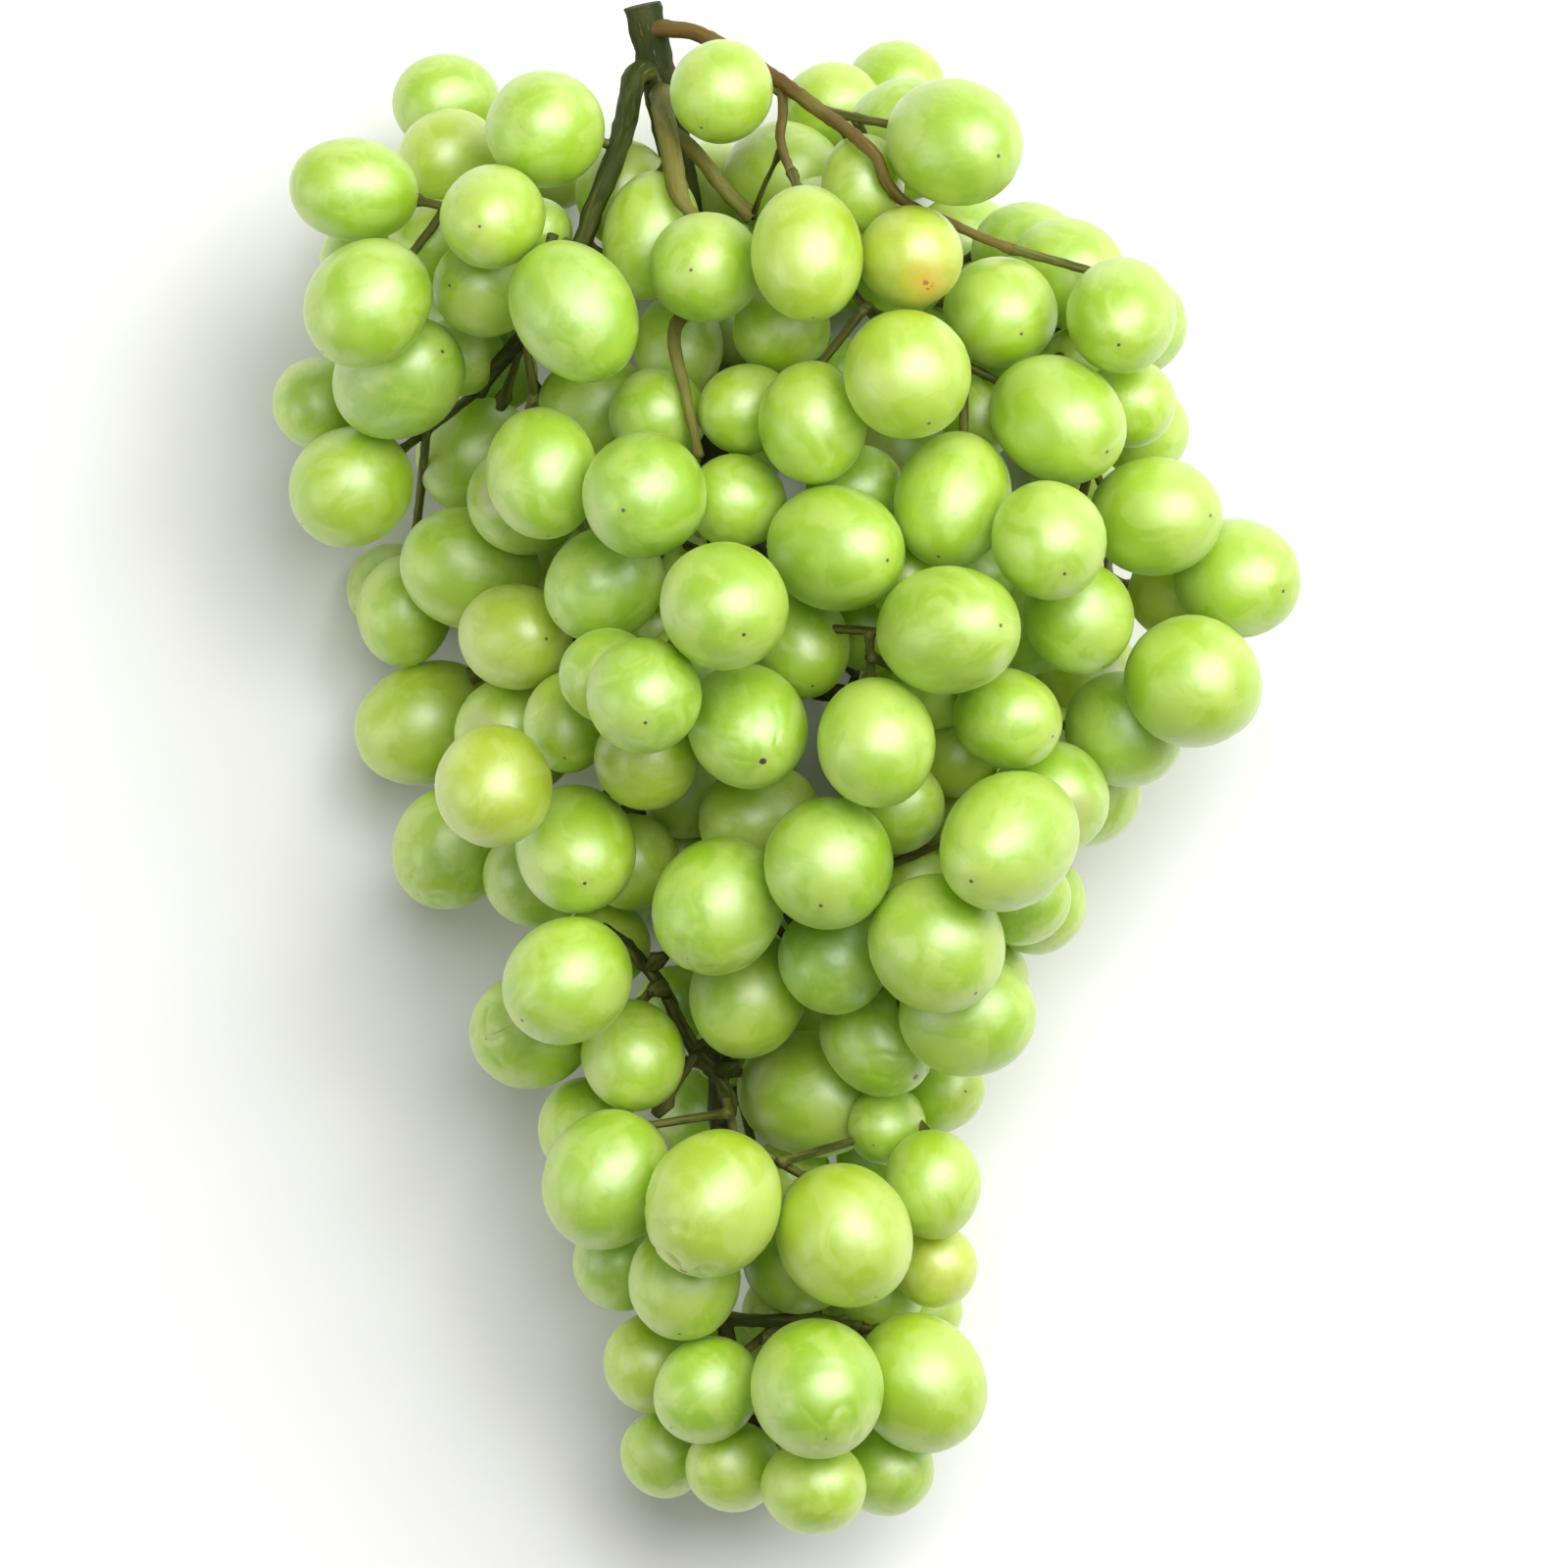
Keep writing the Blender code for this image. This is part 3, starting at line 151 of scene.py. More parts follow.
# berries of the back: half width, stretch, spread of their size, and the lattice that they start on
HIDDEN_WIDTH = 0.0088
HIDDEN_STRETCH = 1.12
HIDDEN_SPREAD = 0.06
LAYER_STEP = 0.0190
LAYER_RISE = 0.0165
LAYERS = 4
LAYER_ROWS = 7
LAYER_SHAKE = 0.0012
# the distance of the lattice's rows and the slide of its layers, as shares of its step
ROW_STEP = 0.866
LAYER_SLIDE = 0.33
# how widely the directions of the back berries vary, and how far they point down at the least
WAY_SPREAD = 0.6
WAY_DOWN = 0.7
# points round a berry's rim, how far out they lie, and how far a seen berry covers them and it
RIM_POINTS = 16
RIM_SHARE = 0.92
RIM_COVER = 1.06
MIDDLE_COVER = 1.2
# the deepest that a back berry may start in something, and end in it
START_CROWDING = 0.0042
END_CROWDING = 0.0002
# how far the back of the bunch lies below the height that mirrors its front
BACK_ROUNDING = 1.10
BACK_SPARE = 0.012
# deep inside means higher than this, within this share of the half width of the bunch,
# and between these two pixels down the photograph
INNER_HEIGHT = 0.014
INNER_SHARE = 0.75
INNER_FROM = 150.0
INNER_TO = 1380.0
# a seen berry of the deepest rank counts as deep inside below this half width
SMALL_DEEP_WIDTH = 0.0076

# longest stem of a berry, and the least cosine between it and the berry's stem end
MAX_REACH = 0.034
LEAST_LEAVING = 0.35
# how many points of the stems are tried for a berry, in a short search and in a long one, and which
# of the nearest points of each spray they are
TRIES = 16
MANY_TRIES = 48
NEAR_ANCHORS = 40
ANCHOR_SKIP = 4
# the most berries on a spray
MOST_ON_SPRAY = 22
# spacing of the points that a stem is bent by, the step between those it keeps, its least radius
STEM_STEP = 0.005
STEM_THINNING = 2
STEM_LEAST = 0.0006
# rounds that bend a side stem and a berry's stem, and how low a stem may lie over the table
STEM_ROUNDS = 200
PEDICEL_ROUNDS = 45
TABLE_GAP = 0.0005
# spacing of the points where berries' stems may grow, and where clearances and room are measured
ANCHOR_STEP = 0.0015
SAMPLE_STEP = 0.0006
ROOM_STEP = 0.001
# gap between two stems that cross, against the gap kept between two nodes
CROSS_SPARE = 1.3


def to_frame(across, down):
    return (across - MIDDLE_PIXEL) * PIXEL, (MIDDLE_PIXEL - down) * PIXEL


def outline_at(down):
    """Half width, middle and half depth of the bunch at a height of the photograph."""
    rows = np.array(OUTLINE, float)
    return [np.interp(down, rows[:, 0], rows[:, column]) for column in (1, 2, 3)]


def dome(across, down):
    """How far the front rises over the height of the bunch's middle at a place, and that height."""
    half, middle, depth = outline_at(down)
    share = min(1.0, abs(across - middle) / half)
    return depth * math.sqrt(1.0 - share * share), depth


def seen_shape(row):
    """A seen berry's half width, half length and direction, from its outline and its tip."""
    across, down, half_long, half_wide, turn = row[:5]
    wide = half_wide * PIXEL
    seen_long = max(half_long * PIXEL, wide * LEAST_SEEN_STRETCH)
    if len(row) > 5:
        return wide, *from_tip(row, wide, seen_long)
    long = max(seen_long, USUAL_STRETCH * wide)
    lean = math.sqrt((seen_long ** 2 - wide ** 2) / (long ** 2 - wide ** 2))
    lean = min(lean, MOST_LEAN)
    right, up = math.cos(math.radians(turn)), math.sin(math.radians(turn))
    middle = outline_at(down)[1]
    if (across - middle) * right - HANG_DOWN * up < 0:
        right, up = -right, -up
    return wide, long, (right * lean, up * lean, math.sqrt(1.0 - lean * lean))


def from_tip(row, wide, seen_long):
    """Half length and direction of a berry whose style scar is seen."""
    right = (row[5] - row[0]) * PIXEL
    up = (row[1] - row[6]) * PIXEL
    shown = math.hypot(right, up)
    spare = shown ** 2 + wide ** 2 - seen_long ** 2
    long = MOST_STRETCH * wide
    if spare > 1e-9:
        long = wide * shown / math.sqrt(spare)
    long = min(max(long, LEAST_STRETCH * wide), MOST_STRETCH * wide)
    lean = min(MOST_LEAN, shown / long)
    return long, (right / shown * lean, up / shown * lean, math.sqrt(1.0 - lean * lean))


# Path of the main stem: pixels across, pixels down and height in metres.
MAIN_STEM = [
    (655, 2, 0.044), (662, 60, 0.045), (676, 120, 0.046), (690, 180, 0.044), (708, 245, 0.039),
    (724, 310, 0.034), (728, 365, 0.032), (735, 500, 0.031), (742, 650, 0.030), (748, 800, 0.029),
    (750, 950, 0.028), (744, 1050, 0.028), (738, 1100, 0.0275), (738, 1150, 0.027), (756, 1200, 0.0265),
    (766, 1285, 0.028), (772, 1320, 0.033), (780, 1350, 0.035), (775, 1383, 0.034), (772, 1440, 0.026),
    (778, 1500, 0.022),
]
# its radius at the cut end and at the tip
MAIN_RADIUS = (0.0029, 0.0011)

# Side stems: pixels across, pixels down and height in metres, from the carrying stem outward.
SIDE_STEMS = {
    "left_shoulder": [
        (657, 38, 0.0445), (650, 66, 0.0455), (643, 96, 0.0475), (635, 135, 0.0525), (620, 180, 0.0565),
        (605, 215, 0.0562), (595, 245, 0.056), (566, 295, 0.056), (535, 340, 0.052), (510, 368, 0.046),
        (486, 396, 0.040),
    ],
    "left_wing": [(716, 380, 0.030), (620, 430, 0.028), (520, 455, 0.026), (430, 500, 0.024)],
    "left_side": [(724, 590, 0.030), (630, 640, 0.028), (540, 660, 0.026), (450, 700, 0.024)],
    "left_lower": [(736, 830, 0.028), (650, 860, 0.027), (570, 880, 0.026), (500, 870, 0.024)],
    "left_tail": [
        (739, 1152, 0.0275), (742, 1145, 0.0315), (745, 1130, 0.0345), (738, 1112, 0.036),
        (728, 1098, 0.0368), (709, 1073, 0.038), (690, 1040, 0.039), (681, 1018, 0.040),
        (660, 990, 0.0425), (640, 966, 0.0448), (612, 948, 0.0455),
    ],
    "tail_left": [(752, 1180, 0.026), (690, 1230, 0.025), (650, 1280, 0.023)],
    "tail_end": [(772, 1418, 0.027), (788, 1450, 0.026), (800, 1488, 0.026)],
    "tail_right": [
        (780, 1352, 0.035), (800, 1351, 0.0335), (820, 1350, 0.033), (850, 1354, 0.0335),
        (880, 1360, 0.0345),
    ],
    "right_tail": [(762, 1100, 0.027), (830, 1130, 0.027), (900, 1170, 0.025)],
    "right_lower": [(760, 860, 0.029), (850, 930, 0.029), (950, 950, 0.027), (1010, 940, 0.025)],
    "right_side": [(752, 690, 0.030), (850, 720, 0.030), (960, 740, 0.028), (1060, 730, 0.026)],
    "right_wing": [
        (748, 540, 0.031), (850, 560, 0.030), (960, 570, 0.029), (1080, 580, 0.027), (1160, 590, 0.026),
    ],
    "right_low_shoulder": [(740, 380, 0.032), (850, 400, 0.031), (960, 410, 0.030), (1060, 410, 0.028)],
    "right_edge": [(738, 268, 0.034), (850, 270, 0.032), (960, 290, 0.030), (1070, 320, 0.028)],
    "right_shoulder": [
        (657, 22, 0.045), (715, 34, 0.050), (775, 70, 0.058), (818, 102, 0.066), (840, 120, 0.0705),
        (862, 137, 0.0768), (880, 153, 0.0805), (894, 168, 0.0818), (902, 190, 0.0812), (912, 203, 0.079),
        (925, 213, 0.0765), (945, 223, 0.0742), (967, 231, 0.072), (1000, 245, 0.068), (1030, 256, 0.0645),
    ],
    "front": [
        (675, 92, 0.044), (676, 106, 0.052), (679, 128, 0.058), (688, 175, 0.0645), (693, 200, 0.0674),
        (702, 216, 0.068), (714, 230, 0.0665), (722, 246, 0.063), (724, 268, 0.061), (718, 292, 0.0605),
        (705, 314, 0.062),
        (691, 332, 0.064), (688, 348, 0.0652), (692, 372, 0.0668), (698, 395, 0.068), (703, 420, 0.069),
        (709, 445, 0.068), (713, 467, 0.0665),
    ],
    "middle_front": [(748, 590, 0.034), (752, 580, 0.046), (780, 560, 0.058)],
    "low_front": [(754, 880, 0.032), (770, 870, 0.042), (790, 900, 0.052)],
    "front_right": [
        (680, 134, 0.059), (698, 145, 0.0575), (720, 168, 0.056), (745, 200, 0.056), (768, 222, 0.056),
    ],
    "right_fork": [
        (798, 87, 0.0622), (799, 118, 0.0625), (796, 138, 0.0645), (800, 162, 0.0705), (808, 182, 0.0785),
    ],
}
# side stems that the photograph shows, which keep their path
SEEN_STEMS = (
    "left_shoulder", "left_tail", "tail_right", "right_shoulder", "right_fork", "front", "front_right",
)
# forks, each of which belongs to the side stem that it grows from
FORKS = {"front_right": "front", "right_fork": "right_shoulder"}
# radius of a side stem at its foot and at its tip
SIDE_RADIUS = (0.0014, 0.0009)
SIDE_RADII = {
    "left_shoulder": (0.0017, 0.0010), "front": (0.0016, 0.0006), "front_right": (0.0011, 0.0010),
    "right_shoulder": (0.0011, 0.0006), "right_fork": (0.0007, 0.0006),
    "left_tail": (0.0011, 0.0008), "tail_right": (0.0010, 0.0008),
}


class Berries:
    """The berries' middles, half widths, half lengths, directions and forward order."""

    def __init__(self, middles, widths, lengths, ways, order):
        self.middles = np.array(middles, float)
        self.widths = np.array(widths, float)
        self.lengths = np.array(lengths, float)
        self.ways = np.array(ways, float)
        self.order = np.array(order, float)

    def reach(self, index, way):
        spare = self.lengths[index] ** 2 - self.widths[index] ** 2
        along = np.sum(self.ways[index] * way, axis=1)
        return np.sqrt(self.widths[index] ** 2 + spare * along ** 2)

    def heights(self):
        spare = self.lengths ** 2 - self.widths ** 2
        return np.sqrt(self.widths ** 2 + spare * self.ways[:, 2] ** 2)

    def pole(self, index):
        """The stem end of a berry."""
        return self.middles[index] - self.ways[index] * self.lengths[index]

    def parts(self):
        return self.middles, self.widths, self.lengths, self.ways, self.order

    def joined(self, other):
        return Berries(*[np.concatenate(pair) for pair in zip(self.parts(), other.parts())])

    def without(self, indexes):
        mask = np.ones(len(self.widths), bool)
        mask[list(indexes)] = False
        return self.kept(mask)

    def kept(self, mask):
        return Berries(*[part[mask] for part in self.parts()])

    def depth_at(self, points, margin):
        """How far each point lies from each berry: below 1 is inside the berry grown by the margin."""
        offset = points[:, None, :] - self.middles[None, :, :]
        along = np.sum(offset * self.ways[None, :, :], axis=2)
        across = np.sum(offset * offset, axis=2) - along ** 2
        wide = self.widths + margin
        long = self.lengths + margin
        return np.sqrt(np.maximum(across, 0.0) / wide ** 2 + along ** 2 / long ** 2)


def seen_berries():
    made = []
    for rank in sorted(SEEN_BERRIES):
        for row in SEEN_BERRIES[rank]:
            wide, long, way = seen_shape(row)
            rise, depth = dome(row[0], row[1])
            middle = (*to_frame(row[0], row[1]), depth + rise - wide)
            made.append((middle, wide, long, way, rank))
    return Berries(*zip(*made))


def settle_seen(berries, rounds=2600, calm=1400, pull=0.02, front_share=0.35, shared=0.6):
    """Moves the seen berries up or down only, until each lies clear behind those that cover it."""
    count = len(berries.order)
    wanted = berries.middles[:, 2].copy()
    low = berries.heights() * TABLE_PRESS
    front, back, flat = covering_pairs(berries)
    ordered = berries.order[front] != berries.order[back]
    for step in range(rounds):
        offset = berries.middles[front] - berries.middles[back]
        way = offset / np.linalg.norm(offset, axis=1)[:, None]
        need = berries.reach(front, way) + berries.reach(back, way) + BERRY_GAP
        side = np.where(ordered, 1.0, np.sign(offset[:, 2] + 1e-12))
        rise = np.sqrt(np.maximum(need ** 2 - flat ** 2, 0.0))
        lack = np.where(need > flat, np.maximum(rise - side * offset[:, 2], 0.0), 0.0)
        move = np.zeros(count)
        np.add.at(move, front, side * lack * front_share)
        np.add.at(move, back, -side * lack * (1.0 - front_share))
        touches = np.zeros(count)
        np.add.at(touches, front, lack > 1e-6)
        np.add.at(touches, back, lack > 1e-6)
        berries.middles[:, 2] += move / np.maximum(1.0, touches * shared)
        if step < rounds - calm:
            berries.middles[:, 2] += pull * (wanted - berries.middles[:, 2])
        berries.middles[:, 2] = np.maximum(berries.middles[:, 2], low)


def covering_pairs(berries):
    """Pairs of berries near each other in the photograph, the front one first, and their gap there."""
    first, second = np.triu_indices(len(berries.order), 1)
    flat = np.linalg.norm(berries.middles[first, :2] - berries.middles[second, :2], axis=1)
    near = flat < berries.lengths[first] + berries.lengths[second]
    first, second, flat = first[near], second[near], flat[near]
    turned = berries.order[second] > berries.order[first]
    return np.where(turned, second, first), np.where(turned, first, second), flat


def nearest_on_path(points, path):
    """The nearest point of a path, as a list of corner points, to each of the points."""
    best = np.full(len(points), 1e9)
    spot = np.zeros((len(points), 3))
    for start, end in zip(path[:-1], path[1:]):
        span = end - start
        share = np.clip(np.dot(points - start, span) / np.dot(span, span), 0.0, 1.0)
        here = start + share[:, None] * span
        gap = np.linalg.norm(points - here, axis=1)
        closer = gap < best
        best = np.where(closer, gap, best)
        spot = np.where(closer[:, None], here, spot)
    return spot, best


def push_out(points, berries, margin, least_share=0.05, past=1.002):
    """Moves each point that lies in a grown berry to that berry's grown surface."""
    value = berries.depth_at(points, margin)
    worst = np.argmin(value, axis=1)
    least = value[np.arange(len(points)), worst]
    inside = least < 1.0
    middles = berries.middles[worst]
    grown = middles + (points - middles) / np.maximum(least, least_share)[:, None] * past
    return np.where(inside[:, None], grown, points)


def bend_clear(path, berries, margin, rounds, pull=0.30):
    """Bends a path's inner points round the berries and keeps its ends."""
    path = path.copy()
    for _ in range(rounds):
        middle = (path[:-2] + path[2:]) / 2.0
        path[1:-1] += pull * (middle - path[1:-1])
        path[1:-1] = push_out(path[1:-1], berries, margin)
        path[:, 2] = np.maximum(path[:, 2], margin + TABLE_GAP)
    return path


def spread(path, step):
    """Points along a path at about the step's spacing."""
    rows = [path[:1]]
    for start, end in zip(path[:-1], path[1:]):
        parts = max(1, int(math.ceil(np.linalg.norm(end - start) / step)))
        shares = np.arange(1, parts + 1)[:, None] / parts
        rows.append(start + shares * (end - start))
    return np.vstack(rows)


def clear_of_berries(path, berries, margin):
    value = berries.depth_at(spread(path, SAMPLE_STEP), margin)
    return value.min() >= 1.0


def stem_path(rows):
    corners = []
    for row in rows:
        x, y = to_frame(row[0], row[1])
        corners.append((x, y, row[2]))
    return np.array(corners)


def hidden_berries(seen, stems):
    """Berries of the back, on a shaken lattice, kept where the seen ones cover them."""
    draw = np.random.default_rng(SEED)
    middles = []
    for layer in range(LAYERS):
        height = HIDDEN_WIDTH * TABLE_PRESS + layer * LAYER_RISE
        for down in range(-LAYER_ROWS, LAYER_ROWS + 1):
            for across in range(1 - LAYER_ROWS, LAYER_ROWS):
                x = (across + 0.5 * (layer % 2) + 0.5 * (down % 2)) * LAYER_STEP
                y = (down + LAYER_SLIDE * layer) * LAYER_STEP * ROW_STEP
                shake = draw.uniform(-LAYER_SHAKE, LAYER_SHAKE, 3)
                middles.append((x + shake[0], y + shake[1], height + abs(shake[2])))
    middles = np.array(middles)
    widths = HIDDEN_WIDTH * draw.uniform(1.0 - HIDDEN_SPREAD, 1.0 + HIDDEN_SPREAD, len(middles))
    ways = draw.normal(0.0, WAY_SPREAD, (len(middles), 3))
    ways[:, 2] = -abs(ways[:, 2]) - WAY_DOWN
    ways /= np.linalg.norm(ways, axis=1)[:, None]
    made = Berries(middles, widths, widths * HIDDEN_STRETCH, ways, np.zeros(len(middles)))
    free = crowding(made, seen, stems) < START_CROWDING
    made = made.kept(covered(made, seen) & above_back(made) & free)
    made = relax_hidden(made, seen, stems)
    return made.kept(covered(made, seen) & (crowding(made, seen, stems) < END_CROWDING))


def covered(made, seen):
    """True where the seen berries hide a berry's rim from above and a higher one its middle."""
    turns = np.linspace(0.0, 2.0 * math.pi, RIM_POINTS, endpoint=False)
    rim = np.stack([np.cos(turns), np.sin(turns)], axis=1)
    result = np.ones(len(made.widths), bool)
    for way in rim:
        spot = made.middles[:, :2] + way * made.widths[:, None] * RIM_SHARE
        gap = np.linalg.norm(spot[:, None, :] - seen.middles[None, :, :2], axis=2)
        result &= (gap < seen.widths[None, :] * RIM_COVER).any(axis=1)
    gap = np.linalg.norm(made.middles[:, None, :2] - seen.middles[None, :, :2], axis=2)
    over = seen.middles[None, :, 2] > made.middles[:, None, 2]
    return result & ((gap < seen.widths[None, :] * MIDDLE_COVER) & over).any(axis=1)


def above_back(made):
    """True where a berry lies above the rounded back of the bunch."""
    result = []
    for middle, wide in zip(made.middles, made.widths):
        across = middle[0] / PIXEL + MIDDLE_PIXEL
        down = MIDDLE_PIXEL - middle[1] / PIXEL
        rise, depth = dome(across, down)
        result.append(middle[2] - wide > depth - rise * BACK_ROUNDING - BACK_SPARE)
    return np.array(result)


def crowding(made, seen, stems):
    """How deep each berry sits in the seen berries or the stems."""
    worst = np.zeros(len(made.widths))
    for index in range(len(made.widths)):
        offset = made.middles[index] - seen.middles
        size = np.linalg.norm(offset, axis=1)
        way = offset / size[:, None]
        mine = made.reach(np.full(len(size), index), way)
        need = mine + seen.reach(np.arange(len(size)), way) + BERRY_GAP
        worst[index] = max(worst[index], (need - size).max())
    for path, radius in stems:
        worst = np.maximum(worst, stem_lack(made, path, radius)[0])
    return worst


def stem_lack(made, path, radius):
    """How deep each berry sits in a stem, and the direction out of it."""
    spot, gap = nearest_on_path(made.middles, path)
    way = (made.middles - spot) / np.maximum(gap, 1e-6)[:, None]
    return made.reach(np.arange(len(gap)), way) + radius + CLEAR - gap, way


def relax_hidden(made, seen, stems, rounds=260, most=0.0008):
    """Pushes the back berries off each other, the seen berries, the stems and the table."""
    for _ in range(rounds):
        move = push_apart(made) + push_off_seen(made, seen) + push_off_stems(made, stems)
        made.middles += np.clip(move, -most, most)
        low = made.heights() * TABLE_PRESS
        made.middles[:, 2] = np.maximum(made.middles[:, 2], low)
    return without_overlaps(made)


def overlaps(made, first, second):
    """How far each pair of berries overlaps, and the direction from the second to the first."""
    offset = made.middles[first] - made.middles[second]
    size = np.linalg.norm(offset, axis=1)
    way = offset / size[:, None]
    return made.reach(first, way) + made.reach(second, way) + BERRY_GAP - size, way


def push_apart(made, share=0.45):
    move = np.zeros((len(made.widths), 3))
    first, second = np.triu_indices(len(made.widths), 1)
    lack, way = overlaps(made, first, second)
    lack = np.maximum(lack, 0.0)
    np.add.at(move, first, share * lack[:, None] * way)
    np.add.at(move, second, -share * lack[:, None] * way)
    return move


def push_off_seen(made, seen, share=0.8, near=0.024):
    move = np.zeros((len(made.widths), 3))
    for index in range(len(seen.widths)):
        offset = made.middles - seen.middles[index]
        size = np.linalg.norm(offset, axis=1)
        close = size < near
        if not close.any():
            continue
        way = offset[close] / size[close][:, None]
        need = made.reach(np.nonzero(close)[0], way)
        need = need + seen.reach(np.full(len(way), index), way) + BERRY_GAP
        lack = np.maximum(need - size[close], 0.0)
        move[close] += share * lack[:, None] * way
    return move


def push_off_stems(made, stems, share=0.8):
    move = np.zeros((len(made.widths), 3))
    for path, radius in stems:
        lack, way = stem_lack(made, path, radius)
        move += share * np.maximum(lack, 0.0)[:, None] * way
    return move


def without_overlaps(made, allowed=0.00015):
    """Drops one berry of each pair that still overlaps."""
    first, second = np.triu_indices(len(made.widths), 1)
    overlap = overlaps(made, first, second)[0]
    alive = np.ones(len(made.widths), bool)
    for _ in range(len(made.widths)):
        lack = np.where(alive[first] & alive[second], overlap, 0.0)
        worst = int(np.argmax(lack))
        if lack[worst] < allowed:
            break
        alive[second[worst]] = False
    return made.kept(alive)


def free_radius(points, berries):
    """Distance from each point to the nearest berry, less the gap kept between bodies."""
    offset = points[:, None, :] - berries.middles[None, :, :]
    size = np.linalg.norm(offset, axis=2)
    way = offset / np.maximum(size, 1e-9)[:, :, None]
    spare = berries.lengths ** 2 - berries.widths ** 2
    along = np.sum(way * berries.ways[None, :, :], axis=2)
    reach = np.sqrt(berries.widths ** 2 + spare * along ** 2)
    gap = size - reach
    return gap.min(axis=1) - CLEAR


def laid_stem(rows, berries, wanted, seen=False):
    """A stem clear of the berries, cut where it can't pass, with its radius at each corner."""
    path = stem_path(rows)
    if not seen:
        path = spread(path, STEM_STEP)
        path = np.vstack([path, path[-1:]])
        path = bend_clear(path, berries, wanted[0] + CLEAR, STEM_ROUNDS)[:-1]
        path = path[sorted({*range(0, len(path), STEM_THINNING), len(path) - 1})]
    free = np.array([free_radius(spread(path[number:number + 2], ROOM_STEP), berries).min()
                     for number in range(len(path) - 1)])
    radii = np.linspace(wanted[0], wanted[1], len(path))
    radii[:-1] = np.minimum(radii[:-1], free)
    radii[1:] = np.minimum(radii[1:], free)
    blocked = np.nonzero(radii < STEM_LEAST)[0]
    if len(blocked):
        last = max(2, blocked[0])
        path = path[:last]
        radii = np.maximum(radii[:last], STEM_LEAST)
    return path, radii


def segment_gap(first, second):
    """Least distance between two paths, sampled."""
    one = spread(first, SAMPLE_STEP)
    two = spread(second, SAMPLE_STEP)
    return np.sqrt(((one[:, None, :] - two[None, :, :]) ** 2).sum(axis=2)).min()


def straightened(path, berries, margin):
    """Drops the corners that a clear path doesn't need."""
    corners = [path[0]]
    index = 0
    while index < len(path) - 1:
        step = len(path) - 1
        while step > index + 1:
            trial = np.array([path[index], path[step]])
            if clear_of_berries(trial, berries, margin):
                break
            step -= 1
        corners.append(path[step])
        index = step
    return np.array(corners)


def routed(berries, index, spot, own, straight):
    """A clear path from inside a berry's stem end to a point of a stem, or None."""
    way = -berries.ways[index]
    pole = berries.middles[index] + way * berries.lengths[index]
    inside = pole - way * PEDICEL_SINK
    margin = PEDICEL_RADIUS + CLEAR
    alone = berries.without(list(own) + [index])
    leaving = (spot - inside) / np.linalg.norm(spot - inside)
    if np.dot(leaving, way) > LEAST_LEAVING and clear_of_berries(np.array([inside, spot]), alone, margin):
        return np.array([inside, spot])
    if straight:
        return None
    return bent_route(inside, pole + way * PEDICEL_OUT, spot, berries.without(own), alone, margin)


def bent_route(inside, start, spot, others, alone, margin, step=0.0025, eased=0.97):
    """A path that first leaves its berry straight and then bends clear of the others, or None."""
    parts = max(3, int(np.linalg.norm(spot - start) / step))
    path = start + np.linspace(0.0, 1.0, parts + 1)[:, None] * (spot - start)
    path = np.vstack([path[:1], path])
    path = bend_clear(path, others, margin, PEDICEL_ROUNDS, pull=0.35)[1:]
    margin = margin * eased
    lines = ((path, others), (np.array([inside, start]), alone), (np.array([start, path[0]]), others))
    if not all(clear_of_berries(line, near, margin) for line, near in lines):
        return None
    path = straightened(path, others, margin)
    if len(path) > 2 and clear_of_berries(np.array([inside, path[1]]), alone, margin):
        path = path[1:]
    return np.vstack([inside[None, :], path])


class Spray:
    """One side stem with the berries' stems that grow from it."""

    def __init__(self, name, path, radii):
        self.name = name
        self.path = path
        self.radii = radii
        self.twigs = []
        self.berries = []
        self.forks = []
        self.anchors = spread(path[1:], ANCHOR_STEP)

    def add_fork(self, path, radii):
        self.forks.append((path, radii))
        self.anchors = np.vstack([self.anchors, spread(path[1:], ANCHOR_STEP)])

    def bodies(self):
        yield self.path, float(self.radii.max())
        for path, radii in self.forks:
            yield path, float(radii.max())
        for twig in self.twigs:
            yield twig, PEDICEL_RADIUS


def crosses(path, bodies, near=0.004):
    """True where a path comes too near a stem that it doesn't grow from."""
    low = path.min(axis=0) - near
    high = path.max(axis=0) + near
    for other, radius in bodies:
        if (other.min(axis=0) > high).any() or (other.max(axis=0) < low).any():
            continue
        if segment_gap(path, other) < radius + PEDICEL_RADIUS + CLEAR * CROSS_SPARE:
            return True
    return False


def cut_base(path, radii, carrier, carrier_radius, step=0.0005, after=0.002):
    """Moves a side stem's foot out of the stem that carries it, so that a small gap is left."""
    need = carrier_radius + CLEAR + radii[0]
    fine = spread(path, step)
    gap = nearest_on_path(fine, carrier)[1]
    first = 0
    while gap[first] < need:
        first += 1
    walked = np.linalg.norm(np.diff(path, axis=0), axis=1).cumsum()
    start = np.linalg.norm(np.diff(fine[:first + 1], axis=0), axis=1).sum()
    later = np.nonzero(walked > start + after)[0][0] + 1
    return np.vstack([fine[first:first + 1], path[later:]]), radii[later - 1:]


def laid_stems(seen):
    """The main stem, and each side stem with its foot just off it and with its forks."""
    main, main_radii = laid_stem(MAIN_STEM, seen, MAIN_RADIUS)
    sprays = {}
    for name, rows in SIDE_STEMS.items():
        path, radii = laid_stem(rows, seen, SIDE_RADII.get(name, SIDE_RADIUS), name in SEEN_STEMS)
        if name in FORKS:
            sprays[FORKS[name]].add_fork(path, radii)
            continue
        near = nearest_on_path(path[:1], main)[0]
        local = main_radii[np.argmin(np.linalg.norm(main - near, axis=1))]
        path, radii = cut_base(path, radii, main, local)
        sprays[name] = Spray(name, path, radii)
    return main, main_radii, list(sprays.values())


